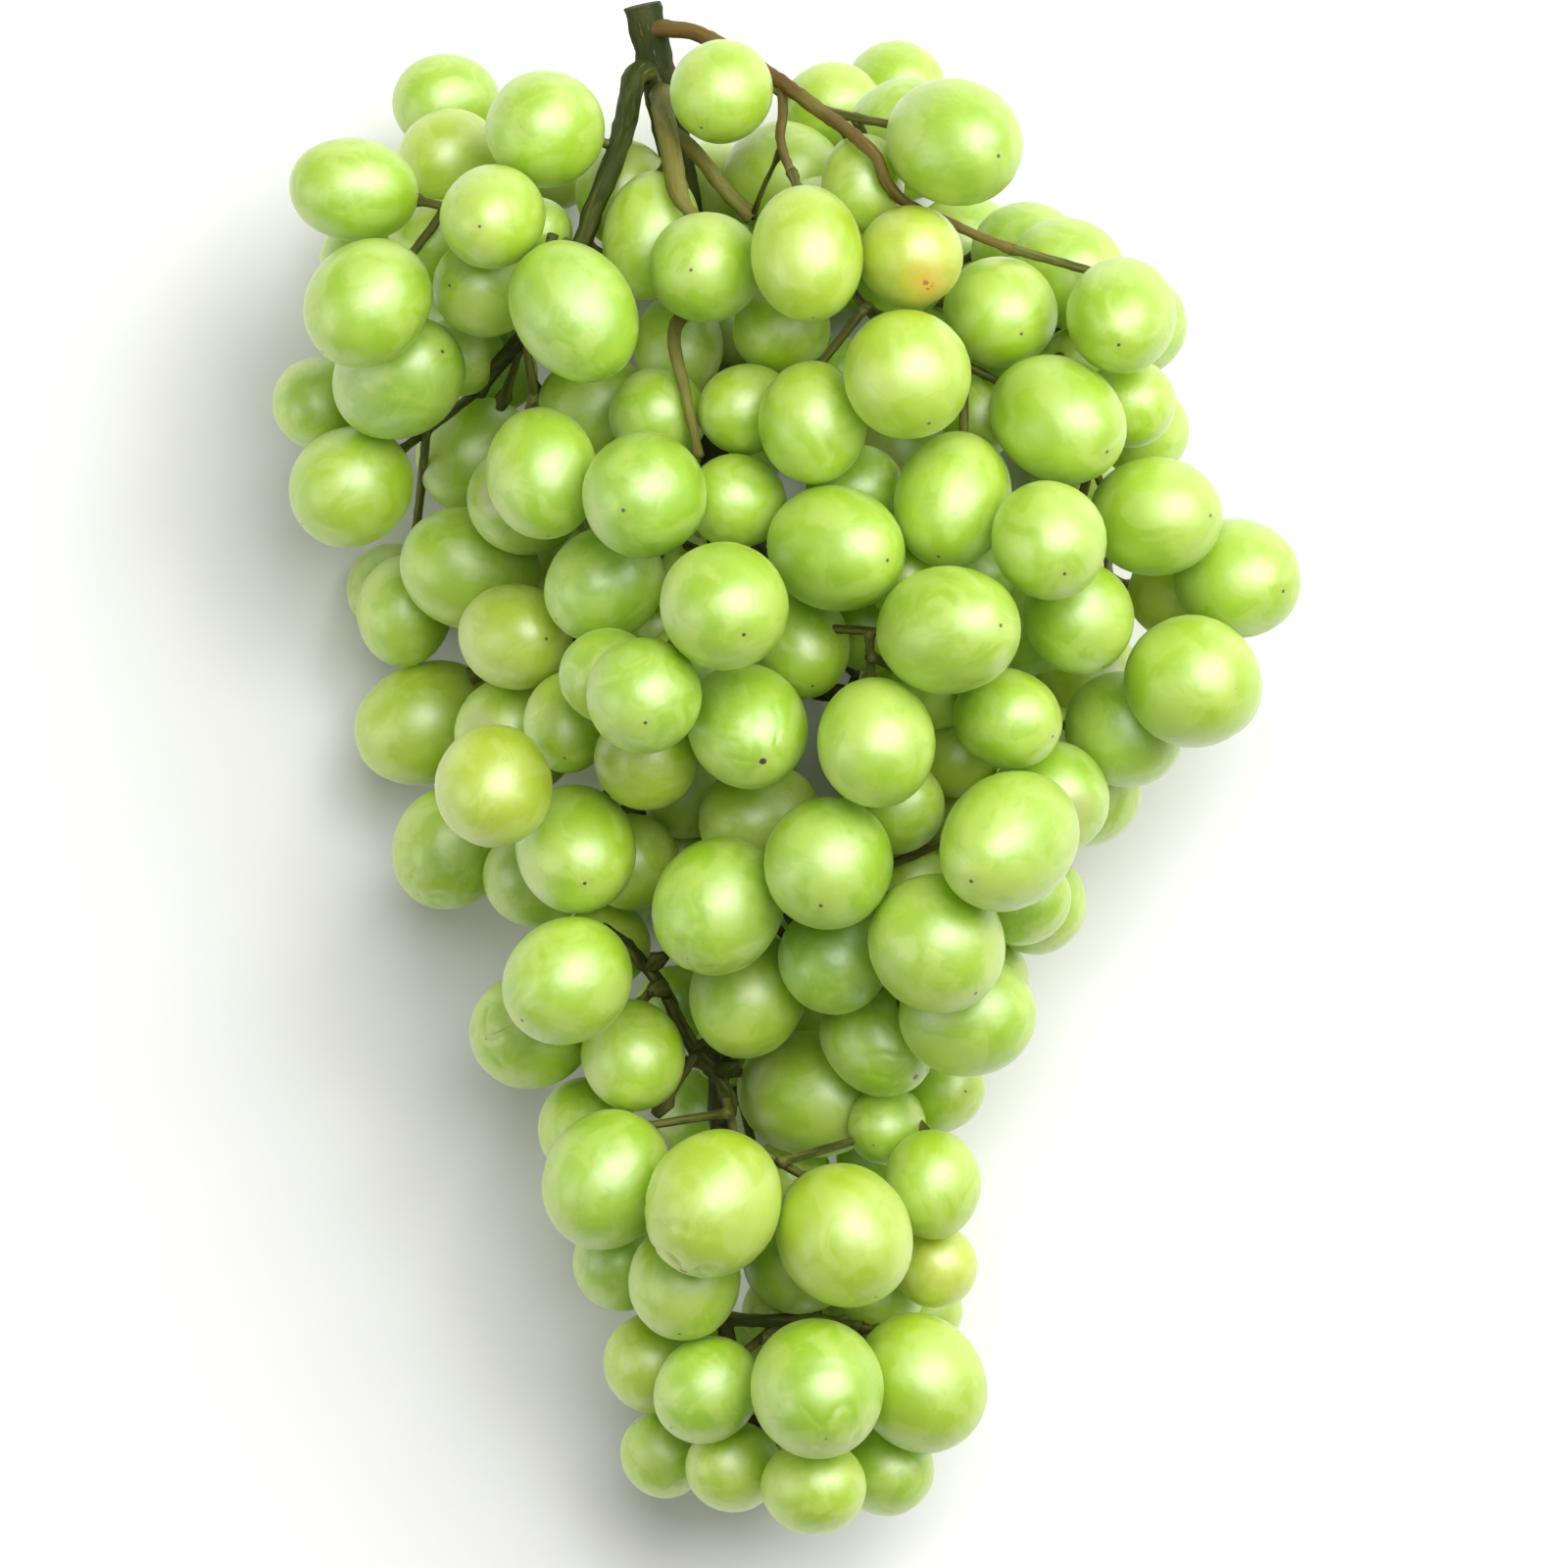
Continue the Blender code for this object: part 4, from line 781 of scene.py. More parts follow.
def choices(spray_list, pole):
    """Points of the stems near a berry's stem end, the nearest first."""
    found = []
    for number, spray in enumerate(spray_list):
        gap = np.linalg.norm(spray.anchors - pole, axis=1)
        for spot in np.argsort(gap)[:NEAR_ANCHORS:ANCHOR_SKIP]:
            if gap[spot] < MAX_REACH:
                found.append((gap[spot], number, spot))
    found.sort()
    return found


def hang_berries(berries, sprays, stalk):
    """Gives every berry a clear stem to the nearest spray that it can reach, and returns the others."""
    poles = berries.middles - berries.ways * berries.lengths[:, None]
    gaps = [nearest_on_path(poles, spray.path)[1] for spray in sprays]
    order = np.argsort(np.min(gaps, axis=0))
    waiting = not_hung(berries, order, sprays, stalk, ((MANY_TRIES, False, True), (TRIES, False, False)))
    return not_hung(berries, waiting, sprays, stalk, ((MANY_TRIES, False, False), (TRIES, True, False)))


def not_hung(berries, waiting, sprays, stalk, searches):
    """Tries the searches in turn for each berry, and returns the berries that none of them hangs."""
    return [index for index in waiting
            if not any(hang_one(berries, index, sprays, stalk, *search) for search in searches)]


def hang_one(berries, index, sprays, stalk, tries, pressed, straight):
    """Hangs one berry on the nearest point of a spray that a clear stem reaches, if there is one.

    Pressed means that the stem may touch the spray's own berries, and straight that it may not bend.
    """
    pole = berries.pole(index)
    for _, number, spot in choices(sprays, pole)[:tries]:
        spray = sprays[number]
        if len(spray.berries) >= MOST_ON_SPRAY:
            continue
        bodies = [stalk]
        for other in sprays:
            if other is not spray:
                bodies.extend(other.bodies())
        own = spray.berries if pressed else []
        path = routed(berries, index, spray.anchors[spot], own, straight)
        if path is None or crosses(path, bodies):
            continue
        spray.twigs.append(path)
        spray.berries.append(index)
        extra = spread(path, ANCHOR_STEP)[:-1]
        extra = extra[np.linalg.norm(extra - pole, axis=1) > PEDICEL_SINK + ANCHOR_STEP]
        if len(extra):
            spray.anchors = np.vstack([spray.anchors, extra])
        return True
    return False


def inner_berries(berries):
    """True for the berries deep inside, which the solids leave out."""
    deep = berries.middles[:, 2] > INNER_HEIGHT
    across = berries.middles[:, 0] / PIXEL + MIDDLE_PIXEL
    down = MIDDLE_PIXEL - berries.middles[:, 1] / PIXEL
    half, middle, _ = outline_at(down)
    central = (np.abs(across - middle) < INNER_SHARE * half) & (down > INNER_FROM) & (down < INNER_TO)
    hidden = (berries.order == 0) & deep
    small = (berries.order == 1) & (berries.widths < SMALL_DEEP_WIDTH) & deep & central
    return hidden | small


def turned_to(way):
    """A turn whose third column is the given direction."""
    helper = np.array((1.0, 0.0, 0.0)) if abs(way[0]) < 0.8 else np.array((0.0, 1.0, 0.0))
    side = np.cross(helper, way)
    side /= np.linalg.norm(side)
    return np.stack([side, np.cross(way, side), way], axis=1)


def frames(path):
    """Each point of a path with two directions across it, which turn as little as they can."""
    helper = None
    for number, spot in enumerate(path):
        way = path[min(len(path) - 1, number + 1)] - path[max(0, number - 1)]
        way = way / np.linalg.norm(way)
        if helper is None:
            helper = turned_to(way)[:, 0]
        helper = helper - way * np.dot(helper, way)
        helper = helper / np.linalg.norm(helper)
        yield spot, helper, np.cross(way, helper)


def tube_corners(path, radii, sides):
    """The corners of the main stem's solid, to find where the frame puts the bunch."""
    corners = []
    for number, (spot, helper, across) in enumerate(frames(path)):
        for side in range(sides):
            turn = 2.0 * math.pi * side / sides
            corners.append(spot + radii[number] * (math.cos(turn) * helper + math.sin(turn) * across))
    return np.array(corners)


# the camera, which sees the photograph's pixels at their places on the focus height
CAMERA_HEIGHT = 2.6
CAMERA_SENSOR = 36.0
CAMERA_FAR = 20.0
PHOTO_PIXELS = 1600
FOCUS_HEIGHT = 0.055
# the light of the world, and the softboxes: name, place, size and power
WORLD_COLOUR = (1.0, 1.0, 0.98, 1.0)
WORLD_LIGHT = 0.16
SOFTBOXES = [
    ("key", (0.70, 0.50, 1.00), 1.05, 17.0),
    ("front", (0.10, 0.40, 1.40), 0.80, 12.5),
    ("rim", (-0.95, -0.15, 0.50), 0.60, 2.5),
]
# half the floor's side, how far it lies below the bunch, and its finish
FLOOR_HALF = 3.0
FLOOR_DROP = 0.0001
FLOOR_FINISH = {"Base Color": (0.90, 0.90, 0.89, 1.0), "Roughness": 0.9}

# corners round a fine berry and rings along it, both doubled on a creased one
FINE_ROUND = 36
FINE_RINGS = 22
# range of the place in the noise that a piece takes
NOISE_REACH = 40.0
# a berry's swell toward one end and the share of it that shows, its dents and their scale, its squash
SWELL = 0.035
SWELL_SHARE = 0.6
DENTS = (0.010, 0.022)
DENT_SCALE = 1.3
SQUASH = 0.012
# depth and spread of the dimple at the stem end, and of the pit at the style scar
DIMPLE = (0.050, 0.018)
PIT = (0.010, 0.006)
# scale and shift of a crease's noise, its depth and width, and how far it passes the middle
CREASE_SCALE = 1.7
CREASE_SHIFT = 0.5
CREASE_DEPTH = 0.040
CREASE_WIDTH = 0.05
CREASE_PAST = 0.2
# strength of the creases on the berries that show them, by the berry's pixels
CREASED = {
    (733, 924): 0.5, (728, 1227): 1.0, (895, 1062): 0.9, (834, 1417): 0.6, (763, 741): 0.4,
    (541, 1053): 0.6, (457, 866): 0.6,
}
# the berry with an orange blush, by its pixels, and the blush's own pixels and reach
BLUSHED = {(928, 267): (945, 297)}
BLUSH_REACH = 0.0034
NO_BLUSH = (0, 0)
# how yellow some berries are, by their pixels: 0 is green and 1 is yellow
TINTED = {
    (955, 1295): 0.80, (525, 649): 0.62, (506, 802): 0.70, (1201, 604): 0.75, (928, 267): 0.75,
    (829, 434): 0.42, (924, 387): 0.50, (823, 265): 0.52, (588, 323): 0.18, (617, 597): 0.18,
    (377, 312): 0.30, (407, 385): 0.12, (721, 277): 0.30, (853, 562): 0.35, (966, 645): 0.35,
}
# the other berries' middle value of it, its spread and its most
USUAL_TINT = 0.36
TINT_SPREAD = 0.10
MOST_TINT = 0.7
# how far from a berry's middle its pixels in a table may lie, and its own row's, in pixels
TABLE_SLACK = 2.5
ROW_SLACK = 0.5
# how plain the style scar is on a berry of the back, and on a seen one whose scar isn't seen
BACK_SCAR = 0.8
UNSEEN_SCAR = 0.35

# the bark of the side stems that are seen: 0 is dark green, 0.5 beige and 1 brown; the left shoulder's
# near-darkest value is partly its own dark green and partly painted shade, for the shadow that stem lies in
STEM_TINTS = {
    "left_shoulder": 0.04, "front": 0.48, "right_shoulder": 0.80, "left_tail": 0.10, "tail_right": 0.10,
}
HIDDEN_STEM_TINT = 0.2
PEDICEL_TINT = 0.22
TWIG_TINT = 0.12
STALK_TINT = 0.15
# the fine side stems are thicker than the solids' by this much, and at the foot by this much more
STEM_SWELL = 1.18
FOOT_SWELL = 1.15
# a fine berry stem's radius at the berry and at its foot, against the solids'
PEDICEL_TAPER = (0.95, 1.05)
# sides of the main stem in the solids, and of the fine main stem, side stems, forks and twigs
SOLID_SIDES = 6
STALK_SIDES = 18
STEM_SIDES = 12
FORK_SIDES = 10
TWIG_SIDES = 8
# how rough each stem is, as a share of its radius, and the scales of the roughness
WARTY = {"left_tail": 0.55, "tail_right": 0.35, "right_shoulder": 0.22}
PLAIN_WARTS = 0.16
TWIG_WARTS = 0.35
WART_ALONG = 900.0
WART_ROUND = 0.9
# swelling and its spread along the stem, where the berry sits and at the stem's foot
SEAT_SWELL = (1.1, 0.0012)
SEAT_PLACE = 0.9
KNOT_SWELL = (0.35, 0.0014)
# spacing of a fine stem's rings, how its length runs through the bark's noise, and its least height
RING_STEP = 0.0012
BARK_ALONG = 100.0
STEM_LOWEST = 0.0004

# Small twigs seen between the berries: the spray that carries each, then pixels across and down
# with the height, from the carrying stem outward, and a radius at each end.
SEEN_TWIGS = [
    ("left_shoulder", [(535, 340, 0.052), (522, 380, 0.0475), (509, 416, 0.044)], 0.00060, 0.00065),
    ("left_shoulder", [(535, 340, 0.052), (542, 378, 0.047), (548, 407, 0.044)], 0.00045, 0.00050),
    ("front", [(768, 222, 0.056), (774, 205, 0.0595), (784, 182, 0.0625), (793, 165, 0.066),
               (798, 152, 0.0685)], 0.00045, 0.00035),
    ("left_tail", [(711, 1076, 0.038), (697, 1097, 0.0375), (684, 1118, 0.0365), (668, 1141, 0.0355)],
     0.00065, 0.00080),
    ("left_tail", [(681, 1018, 0.0400), (673, 1010, 0.0425), (664, 1013, 0.0445)], 0.00070, 0.00090),
    ("left_tail", [(660, 990, 0.0425), (670, 981, 0.0445), (679, 976, 0.0460)], 0.00065, 0.00080),
    ("left_tail", [(709, 1073, 0.0380), (722, 1067, 0.0400), (735, 1074, 0.0410)], 0.00070, 0.00085),
    ("left_tail", [(728, 1098, 0.0368), (741, 1092, 0.0390), (753, 1086, 0.0400)], 0.00065, 0.00080),
]
# Berries seen far back in two gaps: the spray, pixels across and down, height and half width.
FAR_BERRIES = [
    ("left_shoulder", 470, 360, 0.0415, 0.0062),
    ("right_tail", 905, 1150, 0.0386, 0.0060),
]
# their direction and length against their width, and the spacing of the points they may hang on
FAR_WAY = np.array((-0.30, -0.45, 0.84))
FAR_STRETCH = 1.12
FAR_STEP = 0.002
# a berry stem longer than this sags by this share of its length, bent at this spacing, to this height
SAGGING = 0.009
SAG_SHARE = 0.30
SAG_STEP = 0.0025
SAG_LOWEST = 0.002
# the spray whose stems run straight
TAUT = ("right_shoulder",)

# attributes of the fine meshes, which the materials read
MESH_VECTORS = ("berry_place", "berry_shift")
MESH_VALUES = ("berry_tint", "berry_mark", "berry_blush")
# the skin's colours from green to yellow
SKIN_COLOURS = [(0.0, (0.245, 0.470, 0.002)), (0.5, (0.365, 0.550, 0.003)), (1.0, (0.540, 0.530, 0.030))]
PALE_COLOUR = (0.475, 0.640, 0.080)
VEIN_COLOUR = (0.570, 0.690, 0.070)
WAX_COLOUR = (0.620, 0.730, 0.250)
SPECK_COLOUR = (0.230, 0.240, 0.050)
HALO_COLOUR = (0.400, 0.470, 0.090)
SCAR_COLOUR = (0.045, 0.030, 0.010)
SEAT_COLOUR = (0.420, 0.480, 0.120)
BLUSH_COLOUR = (0.800, 0.300, 0.040)
SORE_COLOUR = (0.420, 0.110, 0.012)
# how much the veins' noise is drawn out along the berry
VEIN_STRETCH = (7.0, 7.0, 0.9)
WAX_STRENGTH = 0.26
BLUSH_STRENGTH = 0.50
# a full scar's width, as how far its edge lies below the tip in half lengths
SCAR_EDGE = 0.0026
GRAPE_FINISH = {
    "Subsurface Weight": 0.90, "Subsurface Radius": (1.0, 1.0, 0.06), "Subsurface Scale": 0.0120,
    "Specular IOR Level": 0.22, "Coat Weight": 1.0, "Coat IOR": 2.20, "Coat Roughness": 0.48,
}
# the barks' dark green, beige and brown, and their least roughness
TWIG_BARK = ((0.030, 0.044, 0.004), (0.200, 0.190, 0.040), (0.130, 0.058, 0.016), 0.50)
MAIN_BARK = ((0.022, 0.032, 0.004), (0.085, 0.080, 0.020), (0.055, 0.030, 0.009), 0.55)
# pale streaks on the bark, a painted highlight
HIGHLIGHT_STREAK_COLOUR = (0.300, 0.270, 0.110)
PORE_COLOUR = (0.050, 0.032, 0.012)


def fine_berry(berries, index, draw, crease):
    """Corners, faces and noise places of one berry, with its dimple, scar pit, dents and creases."""
    rounds = FINE_ROUND * (2 if crease else 1)
    rings = FINE_RINGS * (2 if crease else 1)
    wide = berries.widths[index]
    turn = turned_to(berries.ways[index])
    offset = draw.uniform(-NOISE_REACH, NOISE_REACH, 3)
    swell = draw.uniform(-SWELL, SWELL)
    dent = draw.uniform(*DENTS)
    squash = draw.uniform(-SQUASH, SQUASH)
    size = np.array((wide * (1.0 + squash), wide * (1.0 - squash), berries.lengths[index]))
    corners = []
    local = []
    for ring in range(rings + 1):
        polar = math.pi * ring / rings
        count = 1 if ring in (0, rings) else rounds
        for step in range(count):
            around = 2.0 * math.pi * step / rounds
            spot = np.array((math.sin(polar) * math.cos(around), math.sin(polar) * math.sin(around),
                             math.cos(polar)))
            lump = noise.noise(Vector(spot * DENT_SCALE + offset))
            reach = 1.0 + dent * lump + swell * spot[2] * (1.0 - spot[2] ** 2) * SWELL_SHARE
            reach -= DIMPLE[0] * math.exp(-(1.0 + spot[2]) / DIMPLE[1])
            reach -= PIT[0] * math.exp(-(1.0 - spot[2]) / PIT[1])
            if crease:
                fold = abs(noise.noise(Vector(spot * CREASE_SCALE + offset * CREASE_SHIFT)))
                fade = max(0.0, spot[2] + CREASE_PAST)
                reach -= crease * CREASE_DEPTH * math.exp(-((fold / CREASE_WIDTH) ** 2)) * fade
            corners.append(turn @ (spot * size * reach) + berries.middles[index])
            local.append(spot)
    faces = []
    for step in range(rounds):
        after = (step + 1) % rounds
        faces.append((0, 1 + step, 1 + after))
        last = 1 + (rings - 2) * rounds
        faces.append((last + after, last + step, 1 + (rings - 1) * rounds))
    for ring in range(rings - 2):
        low = 1 + ring * rounds
        for step in range(rounds):
            after = (step + 1) % rounds
            faces.append((low + step, low + rounds + step, low + rounds + after, low + after))
    corners = np.array(corners)
    corners[:, 2] = np.maximum(corners[:, 2], 0.0)
    return corners, faces, np.array(local), offset


def grown_mesh(name, blocks, shade):
    """One object from blocks of corners and faces, each with its values of the mesh attributes."""
    corners = []
    faces = []
    rows = {label: [] for label in MESH_VECTORS + MESH_VALUES}
    for points, polygons, *values in blocks:
        start = len(corners)
        corners.extend(points)
        faces.extend([tuple(start + corner for corner in face) for face in polygons])
        for label, value in zip(rows, values):
            shape = (len(points), 3) if label in MESH_VECTORS else (len(points),)
            rows[label].append(np.broadcast_to(value, shape))
    mesh = bpy.data.meshes.new(name)
    mesh.from_pydata([tuple(map(float, corner)) for corner in corners], [], faces)
    mesh.update()
    for label, values in rows.items():
        kind, socket = ("FLOAT_VECTOR", "vector") if label in MESH_VECTORS else ("FLOAT", "value")
        filled = mesh.attributes.new(label, kind, "POINT")
        filled.data.foreach_set(socket, np.concatenate(values).astype(np.float32).ravel())
    for face in mesh.polygons:
        face.use_smooth = True
    made = bpy.data.objects.new(name, mesh)
    bpy.context.scene.collection.objects.link(made)
    mesh.materials.append(shade)
    return made


def smooth_line(path):
    """A curve through a path's corners."""
    if len(path) < 3:
        return spread(path, RING_STEP)
    points = [path[0]]
    for number in range(len(path) - 1):
        before = path[max(0, number - 1)]
        start = path[number]
        end = path[number + 1]
        after = path[min(len(path) - 1, number + 2)]
        parts = max(2, int(np.linalg.norm(end - start) / RING_STEP))
        for part in range(1, parts + 1):
            t = part / parts
            points.append(0.5 * (2 * start + (end - before) * t
                                 + (2 * before - 5 * start + 4 * end - after) * t * t
                                 + (3 * start - before - 3 * end + after) * t ** 3))
    return np.array(points)


def lengths_along(path):
    """How far along a path each of its corners lies."""
    return np.concatenate([[0.0], np.linalg.norm(np.diff(path, axis=0), axis=1).cumsum()])


def twig_block(path, radii, draw, sides, seat, warts):
    """A rough stem along a path, with a swollen seat at its first end where a berry sits."""
    line = smooth_line(path)
    walked = lengths_along(line)
    corner = lengths_along(path)
    size = np.interp(walked / walked[-1], corner / corner[-1], radii)
    if seat:
        from_seat = (walked - PEDICEL_SINK * SEAT_PLACE) / SEAT_SWELL[1]
        size = size * (1.0 + SEAT_SWELL[0] * np.exp(-from_seat ** 2))
    from_foot = (walked[-1] - walked) / KNOT_SWELL[1]
    size = size * (1.0 + KNOT_SWELL[0] * np.exp(-from_foot ** 2))
    offset = draw.uniform(-NOISE_REACH, NOISE_REACH, 3)
    corners = []
    local = []
    for number, (spot, helper, across) in enumerate(frames(line)):
        for side in range(sides):
            turn = 2.0 * math.pi * side / sides
            out = math.cos(turn) * helper + math.sin(turn) * across
            rough = noise.noise(Vector(spot * WART_ALONG + out * WART_ROUND + offset))
            corners.append(spot + size[number] * (1.0 + warts * rough) * out)
            local.append((math.cos(turn), math.sin(turn), walked[number] * BARK_ALONG))
    faces = [tuple(reversed(range(sides)))]
    for number in range(len(line) - 1):
        low = number * sides
        for side in range(sides):
            after = (side + 1) % sides
            faces.append((low + side, low + after, low + sides + after, low + sides + side))
    last = (len(line) - 1) * sides
    faces.append(tuple(range(last, last + sides)))
    corners = np.array(corners)
    corners[:, 2] = np.maximum(corners[:, 2], STEM_LOWEST)
    return corners, faces, np.array(local), offset


def fill(tree, sockets, values):
    """Links or sets each socket from its value, and leaves a socket without one alone."""
    for socket, value in zip(sockets, values):
        if isinstance(value, bpy.types.NodeSocket):
            tree.links.new(value, socket)
        elif value is not None:
            socket.default_value = value


def set_values(node, values):
    for name, value in values.items():
        node.inputs[name].default_value = value


def ramp(tree, source, stops):
    node = tree.nodes.new("ShaderNodeValToRGB")
    band = node.color_ramp
    while len(band.elements) < len(stops):
        band.elements.new(0.5)
    for element, (place, colour) in zip(band.elements, stops):
        element.position = place
        element.color = (*colour, 1.0)
    tree.links.new(source, node.inputs["Fac"])
    return node.outputs["Color"]


def grain(tree, place, scale, detail, rough=0.5, twist=0.0):
    node = tree.nodes.new("ShaderNodeTexNoise")
    set_values(node, {"Scale": scale, "Detail": detail, "Roughness": rough, "Distortion": twist})
    tree.links.new(place, node.inputs["Vector"])
    return node.outputs["Fac"]


def cells(tree, place, scale):
    """Distance from the nearest of scattered points."""
    node = tree.nodes.new("ShaderNodeTexVoronoi")
    node.inputs["Scale"].default_value = scale
    tree.links.new(place, node.inputs["Vector"])
    return node.outputs["Distance"]


def maths(tree, kind, first, second, third=None, clamp=False):
    node = tree.nodes.new("ShaderNodeMath")
    node.operation = kind
    node.use_clamp = clamp
    fill(tree, node.inputs, (first, second, third))
    return node.outputs[0]


def mask(tree, first, second, gain):
    """How far the first value is above the second, times the gain, from 0 to 1."""
    return maths(tree, "MULTIPLY", maths(tree, "SUBTRACT", first, second, clamp=True), gain, clamp=True)


def vectors(tree, kind, first, second):
    node = tree.nodes.new("ShaderNodeVectorMath")
    node.operation = kind
    fill(tree, node.inputs, (first, second))
    return node.outputs[0]


def blended(tree, share, first, colour):
    """The first colour with a share of the second."""
    node = tree.nodes.new("ShaderNodeMix")
    node.data_type = "RGBA"
    fill(tree, (node.inputs[0], node.inputs[6], node.inputs[7]), (share, first, (*colour, 1.0)))
    return node.outputs[2]


def attribute(tree, name, output):
    node = tree.nodes.new("ShaderNodeAttribute")
    node.attribute_name = name
    return node.outputs[output]


def new_skin(name):
    """A material, its tree and shader, the place on the piece, and that place shifted in the noise."""
    shade = bpy.data.materials.new(name)
    shade.use_nodes = True
    tree = shade.node_tree
    local = attribute(tree, "berry_place", "Vector")
    place = vectors(tree, "ADD", local, attribute(tree, "berry_shift", "Vector"))
    return shade, tree, tree.nodes["Principled BSDF"], local, place


def dress_skin(tree, skin, base, gloss, height, strength, distance):
    """Links a shader's colour, its roughness and its bump."""
    bump = tree.nodes.new("ShaderNodeBump")
    set_values(bump, {"Strength": strength, "Distance": distance})
    tree.links.new(height, bump.inputs["Height"])
    for source, name in ((base, "Base Color"), (gloss, "Roughness"), (bump.outputs["Normal"], "Normal")):
        tree.links.new(source, skin.inputs[name])


def grape_skin(name):
    """Waxy translucent green skin, with bloom, freckles, fine veins and a dark style scar."""
    shade, tree, skin, local, place = new_skin(name)
    parts = tree.nodes.new("ShaderNodeSeparateXYZ")
    tree.links.new(local, parts.inputs[0])
    height = parts.outputs["Z"]
    base = ramp(tree, attribute(tree, "berry_tint", "Fac"), SKIN_COLOURS)
    pale = mask(tree, grain(tree, place, 1.6, 3.0, 0.55, 0.4), 0.38, 1.4)
    base = blended(tree, pale, base, PALE_COLOUR)
    stretched = vectors(tree, "MULTIPLY", place, VEIN_STRETCH)
    vein = mask(tree, grain(tree, stretched, 1.4, 3.0, 0.6, 0.8), 0.56, 0.8)
    base = blended(tree, vein, base, VEIN_COLOUR)
    wax = mask(tree, grain(tree, place, 1.5, 3.0, 0.55, 0.7), 0.47, 12.0)
    wax = maths(tree, "MULTIPLY", wax, WAX_STRENGTH)
    base = blended(tree, wax, base, WAX_COLOUR)
    speck = mask(tree, 0.060, cells(tree, place, 7.0), 14.0)
    rare = maths(tree, "GREATER_THAN", grain(tree, place, 2.3, 1.0), 0.56)
    base = blended(tree, maths(tree, "MULTIPLY", speck, rare), base, SPECK_COLOUR)
    below_tip = maths(tree, "SUBTRACT", 1.0, height)
    edge = maths(tree, "MULTIPLY", attribute(tree, "berry_mark", "Fac"), SCAR_EDGE)
    base = blended(tree, mask(tree, 0.020, below_tip, 14.0), base, HALO_COLOUR)
    base = blended(tree, mask(tree, edge, below_tip, 1500.0), base, SCAR_COLOUR)
    above_seat = maths(tree, "ADD", height, 1.0)
    base = blended(tree, mask(tree, 0.12, above_seat, 9.0), base, SEAT_COLOUR)
    blush = attribute(tree, "berry_blush", "Fac")
    base = blended(tree, maths(tree, "MULTIPLY", blush, BLUSH_STRENGTH), base, BLUSH_COLOUR)
    sore = maths(tree, "GREATER_THAN", blush, 0.93)
    sore = maths(tree, "MULTIPLY", sore, maths(tree, "GREATER_THAN", grain(tree, place, 9.0, 2.0), 0.52))
    base = blended(tree, sore, base, SORE_COLOUR)
    gloss = maths(tree, "MULTIPLY_ADD", wax, 0.90, 0.24)
    gloss = maths(tree, "MULTIPLY_ADD", grain(tree, place, 26.0, 2.0), 0.10, gloss)
    set_values(skin, GRAPE_FINISH)
    dress_skin(tree, skin, base, gloss, grain(tree, place, 3.4, 2.0), 0.30, 0.0012)
    return shade


def stem_skin(name, dark, beige, brown, rough):
    """Woody bark from dark green through beige to brown, with pores and paler streaks that are a painted
    highlight.
    """
    shade, tree, skin, _, place = new_skin(name)
    patch = maths(tree, "MULTIPLY_ADD", grain(tree, place, 0.9, 4.0, 0.6, 0.5), 1.2, -0.6)
    share = maths(tree, "ADD", attribute(tree, "berry_tint", "Fac"), patch, clamp=True)
    base = ramp(tree, share, [(0.0, dark), (0.5, beige), (1.0, brown)])
    streak = grain(tree, place, 3.2, 3.0, 0.65)
    # pale streaks mixed into the bark's colour: a painted highlight
    base = blended(tree, mask(tree, streak, 0.60, 3.0), base, HIGHLIGHT_STREAK_COLOUR)
    base = blended(tree, mask(tree, 0.16, cells(tree, place, 2.6), 7.0), base, PORE_COLOUR)
    gloss = maths(tree, "MULTIPLY_ADD", streak, 0.25, rough)
    skin.inputs["Specular IOR Level"].default_value = 0.22
    dress_skin(tree, skin, base, gloss, grain(tree, place, 4.0, 4.0), 0.45, 0.0003)
    return shade


def grow():
    """The berries and stems of the solids, and then the berries that the solids leave out."""
    seen = seen_berries()
    settle_seen(seen)
    main, main_radii, sprays = laid_stems(seen)
    stalk = (main, float(main_radii.max()))
    stems = [stalk]
    stems.extend(body for spray in sprays for body in spray.bodies())
    berries = seen.joined(hidden_berries(seen, stems))
    inner = inner_berries(berries)
    outer = berries.kept(~inner)
    left = hang_berries(outer, sprays, stalk)
    berries = outer.joined(berries.kept(inner))
    left = left + list(range(len(outer.widths), len(berries.widths)))
    hang_rest(berries, left, sprays, stalk)
    berries = hang_far(berries, sprays)
    return berries, sprays, main, main_radii


def hang_rest(berries, waiting, sprays, stalk):
    """Hangs the berries that the solids leave out, the last of them with a short stem alone."""
    searches = ((TRIES, False, False), (TRIES, True, False))
    for index in waiting:
        if not not_hung(berries, [index], sprays, stalk, searches):
            continue
        pole = berries.pole(index)
        found = choices(sprays, pole)
        spray = sprays[found[0][1]]
        inside = pole + berries.ways[index] * PEDICEL_SINK
        spray.berries.append(index)
        spray.twigs.append(np.array([inside, spray.anchors[found[0][2]]]))


def off_pixels(berries, index, across, down):
    """How far a berry's middle lies from a place of the photograph."""
    x, y = to_frame(across, down)
    return math.hypot(berries.middles[index, 0] - x, berries.middles[index, 1] - y)


def value_near(table, berries, index, usual):
    """The table's value for a seen berry, or the usual one."""
    if berries.order[index] == 0:
        return usual
    for (across, down), value in table.items():
        if off_pixels(berries, index, across, down) < TABLE_SLACK * PIXEL:
            return value
    return usual


def scar_shown(berries, index):
    """How plain the style scar is: full on the berries whose scar the photograph shows."""
    for rows in SEEN_BERRIES.values():
        for row in rows:
            if off_pixels(berries, index, row[0], row[1]) < ROW_SLACK * PIXEL:
                return 1.0 if len(row) > 5 else UNSEEN_SCAR
    return BACK_SCAR


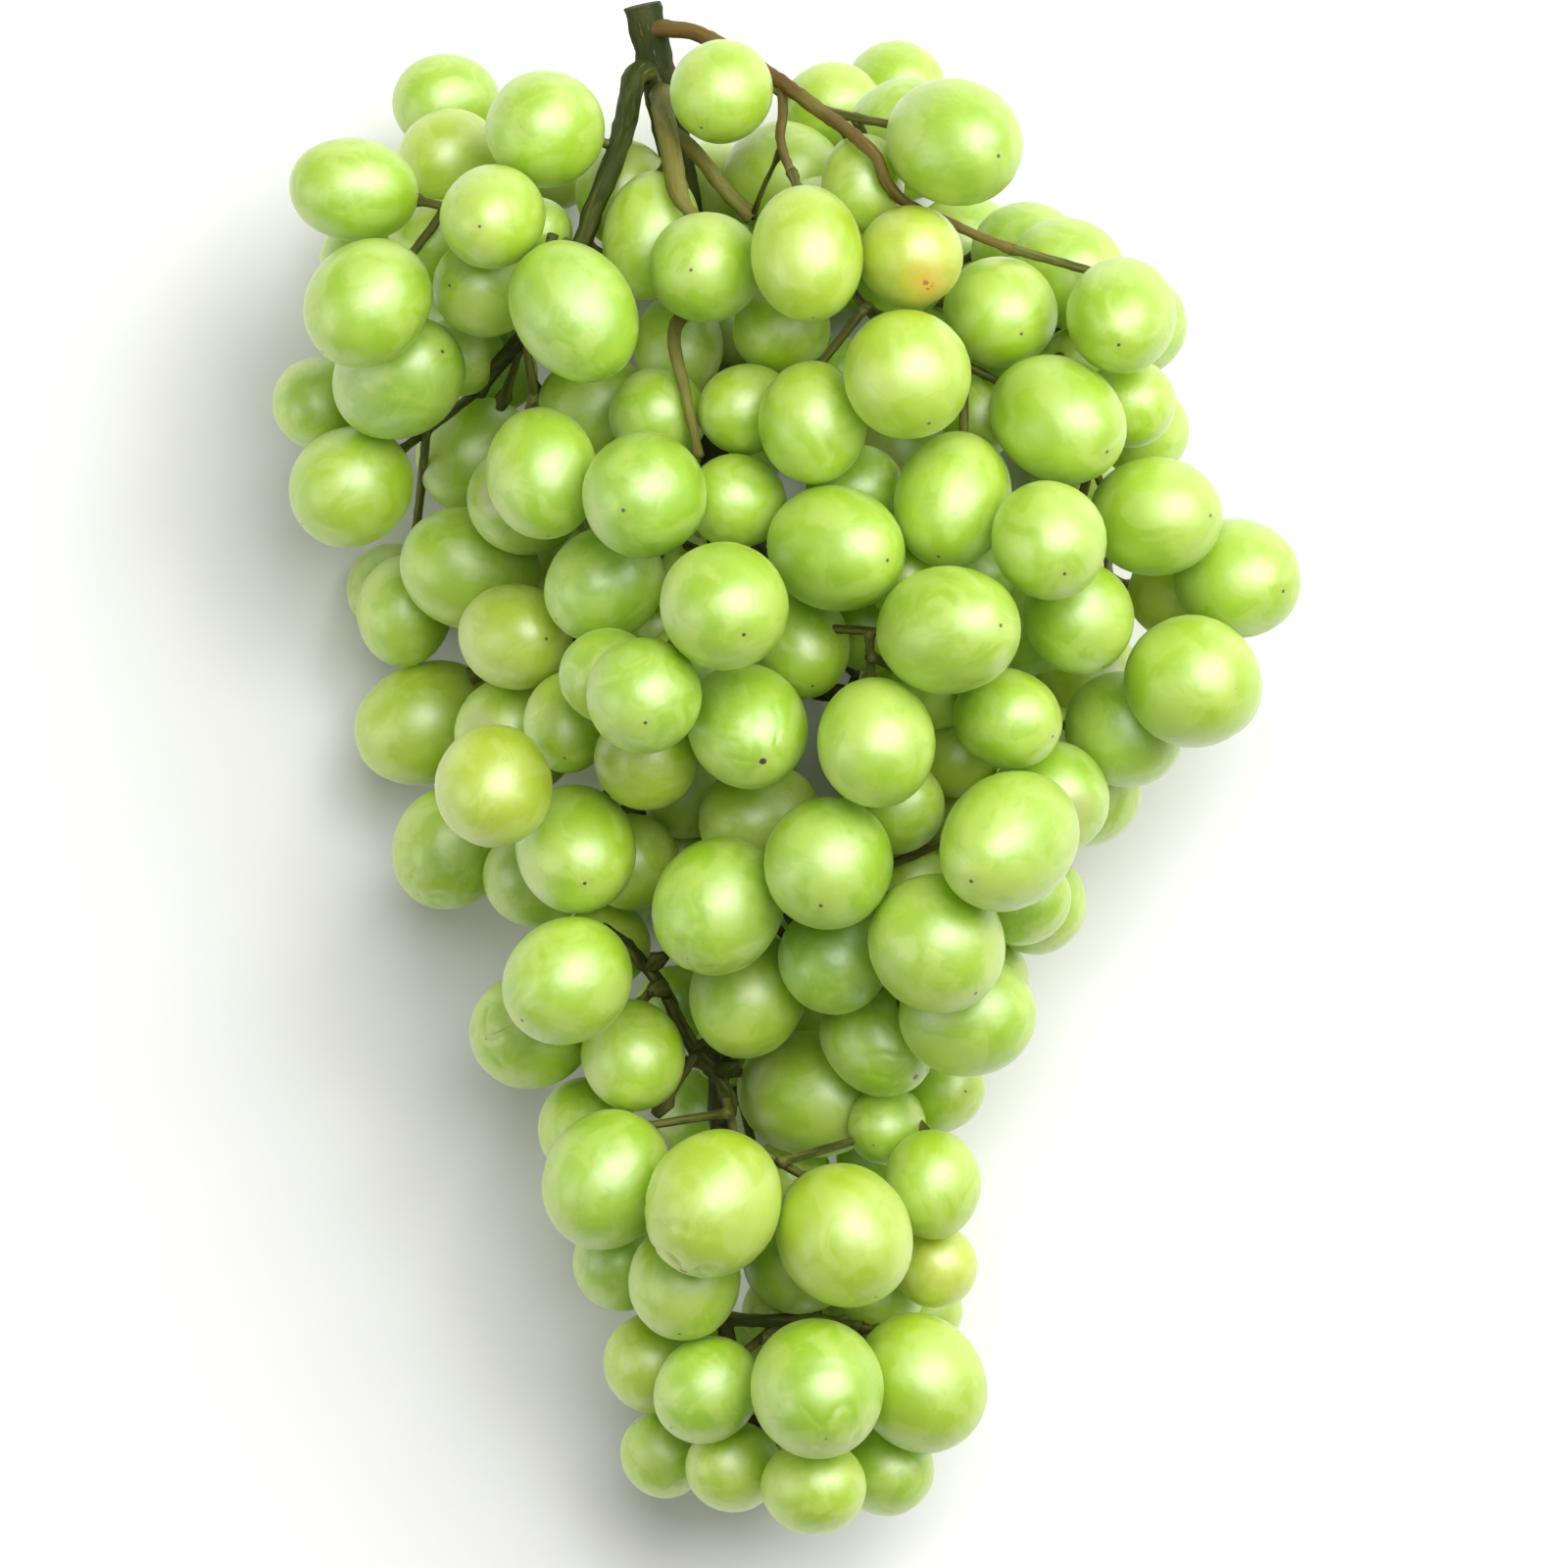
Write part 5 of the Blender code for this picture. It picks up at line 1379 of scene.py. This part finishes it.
def sagged(twig):
    """A long berry stem bent down a little in its middle, under its own weight."""
    length = float(np.linalg.norm(np.diff(twig, axis=0), axis=1).sum())
    if length < SAGGING:
        return twig
    line = spread(twig, SAG_STEP)
    share = np.linspace(0.0, 1.0, len(line))
    line[:, 2] -= 4.0 * share * (1.0 - share) * SAG_SHARE * length
    line[:, 2] = np.maximum(line[:, 2], SAG_LOWEST)
    return line


def blush_on(points, berries, index):
    """How red each corner of a berry is: only one berry has a blush."""
    across, down = value_near(BLUSHED, berries, index, NO_BLUSH)
    if (across, down) == NO_BLUSH:
        return np.zeros(len(points))
    away = np.linalg.norm(points[:, :2] - np.array(to_frame(across, down)), axis=1)
    upper = points[:, 2] > berries.middles[index][2]
    return np.exp(-((away / BLUSH_REACH) ** 2)) * upper


def hang_far(berries, sprays):
    """Adds the berries seen far back in gaps, each on the nearest stem of its spray."""
    widths = np.array([row[4] for row in FAR_BERRIES])
    places = [(*to_frame(row[1], row[2]), row[3]) for row in FAR_BERRIES]
    ways = np.tile(FAR_WAY / np.linalg.norm(FAR_WAY), (len(FAR_BERRIES), 1))
    far = Berries(places, widths, widths * FAR_STRETCH, ways, np.ones(len(FAR_BERRIES)))
    first = len(berries.widths)
    for number, row in enumerate(FAR_BERRIES):
        spray = next(spray for spray in sprays if spray.name == row[0])
        inside = far.middles[number] - ways[number] * (far.lengths[number] - PEDICEL_SINK)
        points = np.vstack([spread(path, FAR_STEP) for path in [spray.path] + spray.twigs])
        nearest = points[np.linalg.norm(points - inside, axis=1).argmin()]
        spray.berries.append(first + number)
        spray.twigs.append(np.array([inside, nearest]))
    return berries.joined(far)


def stem_lines(spray, main):
    """Every stem of a spray: path, radii, sides, seat at its first end, tint and roughness."""
    tint = STEM_TINTS.get(spray.name, HIDDEN_STEM_TINT)
    foot = nearest_on_path(spray.path[:1], main)[0]
    path = np.vstack([foot, spray.path])
    radii = np.concatenate([spray.radii[:1] * FOOT_SWELL, spray.radii]) * STEM_SWELL
    warts = WARTY.get(spray.name, PLAIN_WARTS)
    lines = [(path, radii, STEM_SIDES, False, tint, warts)]
    for path, radii in spray.forks:
        lines.append((path, radii * STEM_SWELL, FORK_SIDES, False, tint, warts))
    thin, thick = (PEDICEL_RADIUS * share for share in PEDICEL_TAPER)
    for twig in spray.twigs:
        twig = twig if spray.name in TAUT else sagged(twig)
        radii = np.linspace(thin, thick, len(twig))
        lines.append((twig, radii, TWIG_SIDES, True, PEDICEL_TINT, PLAIN_WARTS))
    for carrier, rows, start, end in SEEN_TWIGS:
        if carrier == spray.name:
            radii = np.linspace(end, start, len(rows))
            lines.append((stem_path(rows)[::-1], radii, TWIG_SIDES, True, TWIG_TINT, TWIG_WARTS))
    return lines


def ride_and_replace(piece, node):
    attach(piece, "root")
    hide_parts(node)


def dress_spray(spray, berries, main, shift, draw, skin, bark):
    """A spray's fine berries and its fine stems."""
    blocks = []
    for index in spray.berries:
        crease = value_near(CREASED, berries, index, 0.0)
        points, faces, local, offset = fine_berry(berries, index, draw, crease)
        value = float(np.clip(USUAL_TINT + TINT_SPREAD * draw.normal(), 0.0, MOST_TINT))
        value = value_near(TINTED, berries, index, value)
        red = blush_on(points, berries, index)
        blocks.append((points + shift, faces, local, offset, value, scar_shown(berries, index), red))
    fruit = grown_mesh("berries_" + spray.name, blocks, skin)
    blocks = []
    for path, radii, sides, seat, tint, warts in stem_lines(spray, main):
        points, faces, local, offset = twig_block(path, radii, draw, sides, seat, warts)
        blocks.append((points + shift, faces, local, offset, tint, 0.0, 0.0))
    twigs = grown_mesh("twigs_" + spray.name, blocks, bark)
    ride_and_replace(fruit, "spray_" + spray.name)
    ride_and_replace(twigs, "spray_" + spray.name)


def floor_and_light():
    half = FLOOR_HALF
    corners = [(-half, -half, 0.0), (half, -half, 0.0), (half, half, 0.0), (-half, half, 0.0)]
    mesh = bpy.data.meshes.new("floor")
    mesh.from_pydata(corners, [], [(0, 1, 2, 3)])
    floor = bpy.data.objects.new("floor", mesh)
    bpy.context.scene.collection.objects.link(floor)
    floor.location.z = -FLOOR_DROP
    shade = bpy.data.materials.new("floor_white")
    shade.use_nodes = True
    set_values(shade.node_tree.nodes["Principled BSDF"], FLOOR_FINISH)
    mesh.materials.append(shade)
    world = bpy.context.scene.world or bpy.data.worlds.new("studio")
    bpy.context.scene.world = world
    world.use_nodes = True
    set_values(world.node_tree.nodes["Background"], {"Color": WORLD_COLOUR, "Strength": WORLD_LIGHT})
    for name, place, size, power in SOFTBOXES:
        softbox(name, place, size, power)
    bpy.context.scene.view_settings.view_transform = "Standard"
    bpy.context.scene.view_settings.look = "None"


def softbox(name, place, size, power):
    light = bpy.data.lights.new(name, "AREA")
    light.shape = "SQUARE"
    light.size = size
    light.energy = power
    made = bpy.data.objects.new(name, light)
    made.location = place
    made.rotation_euler = Vector(place).to_track_quat("Z", "Y").to_euler()
    bpy.context.scene.collection.objects.link(made)


def camera_above(shift):
    camera = bpy.data.cameras.new("camera")
    camera.sensor_width = CAMERA_SENSOR
    camera.lens = CAMERA_SENSOR * (CAMERA_HEIGHT - FOCUS_HEIGHT) / (PHOTO_PIXELS * PIXEL)
    camera.clip_end = CAMERA_FAR
    made = bpy.data.objects.new("camera", camera)
    made.location = (shift[0], shift[1], CAMERA_HEIGHT)
    bpy.context.scene.collection.objects.link(made)
    bpy.context.scene.camera = made


def dress():
    draw = np.random.default_rng(SEED + 1)
    berries, sprays, main, main_radii = grow()
    low = tube_corners(main, main_radii, SOLID_SIDES).min(axis=0)
    node_low = np.array(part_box("main_stem")[0])
    shift = np.array((node_low[0] - low[0], node_low[1] - low[1], 0.0))
    skin = grape_skin("grape_skin")
    bark = stem_skin("twig_bark", *TWIG_BARK)
    trunk = stem_skin("main_bark", *MAIN_BARK)
    for spray in sprays:
        if spray.berries:
            dress_spray(spray, berries, main, shift, draw, skin, bark)
    points, faces, local, offset = twig_block(main, main_radii, draw, STALK_SIDES, False, PLAIN_WARTS)
    stalk = grown_mesh("stalk", [(points + shift, faces, local, offset, STALK_TINT, 0.0, 0.0)], trunk)
    ride_and_replace(stalk, "main_stem")
    floor_and_light()
    camera_above(shift)


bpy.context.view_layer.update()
dress()
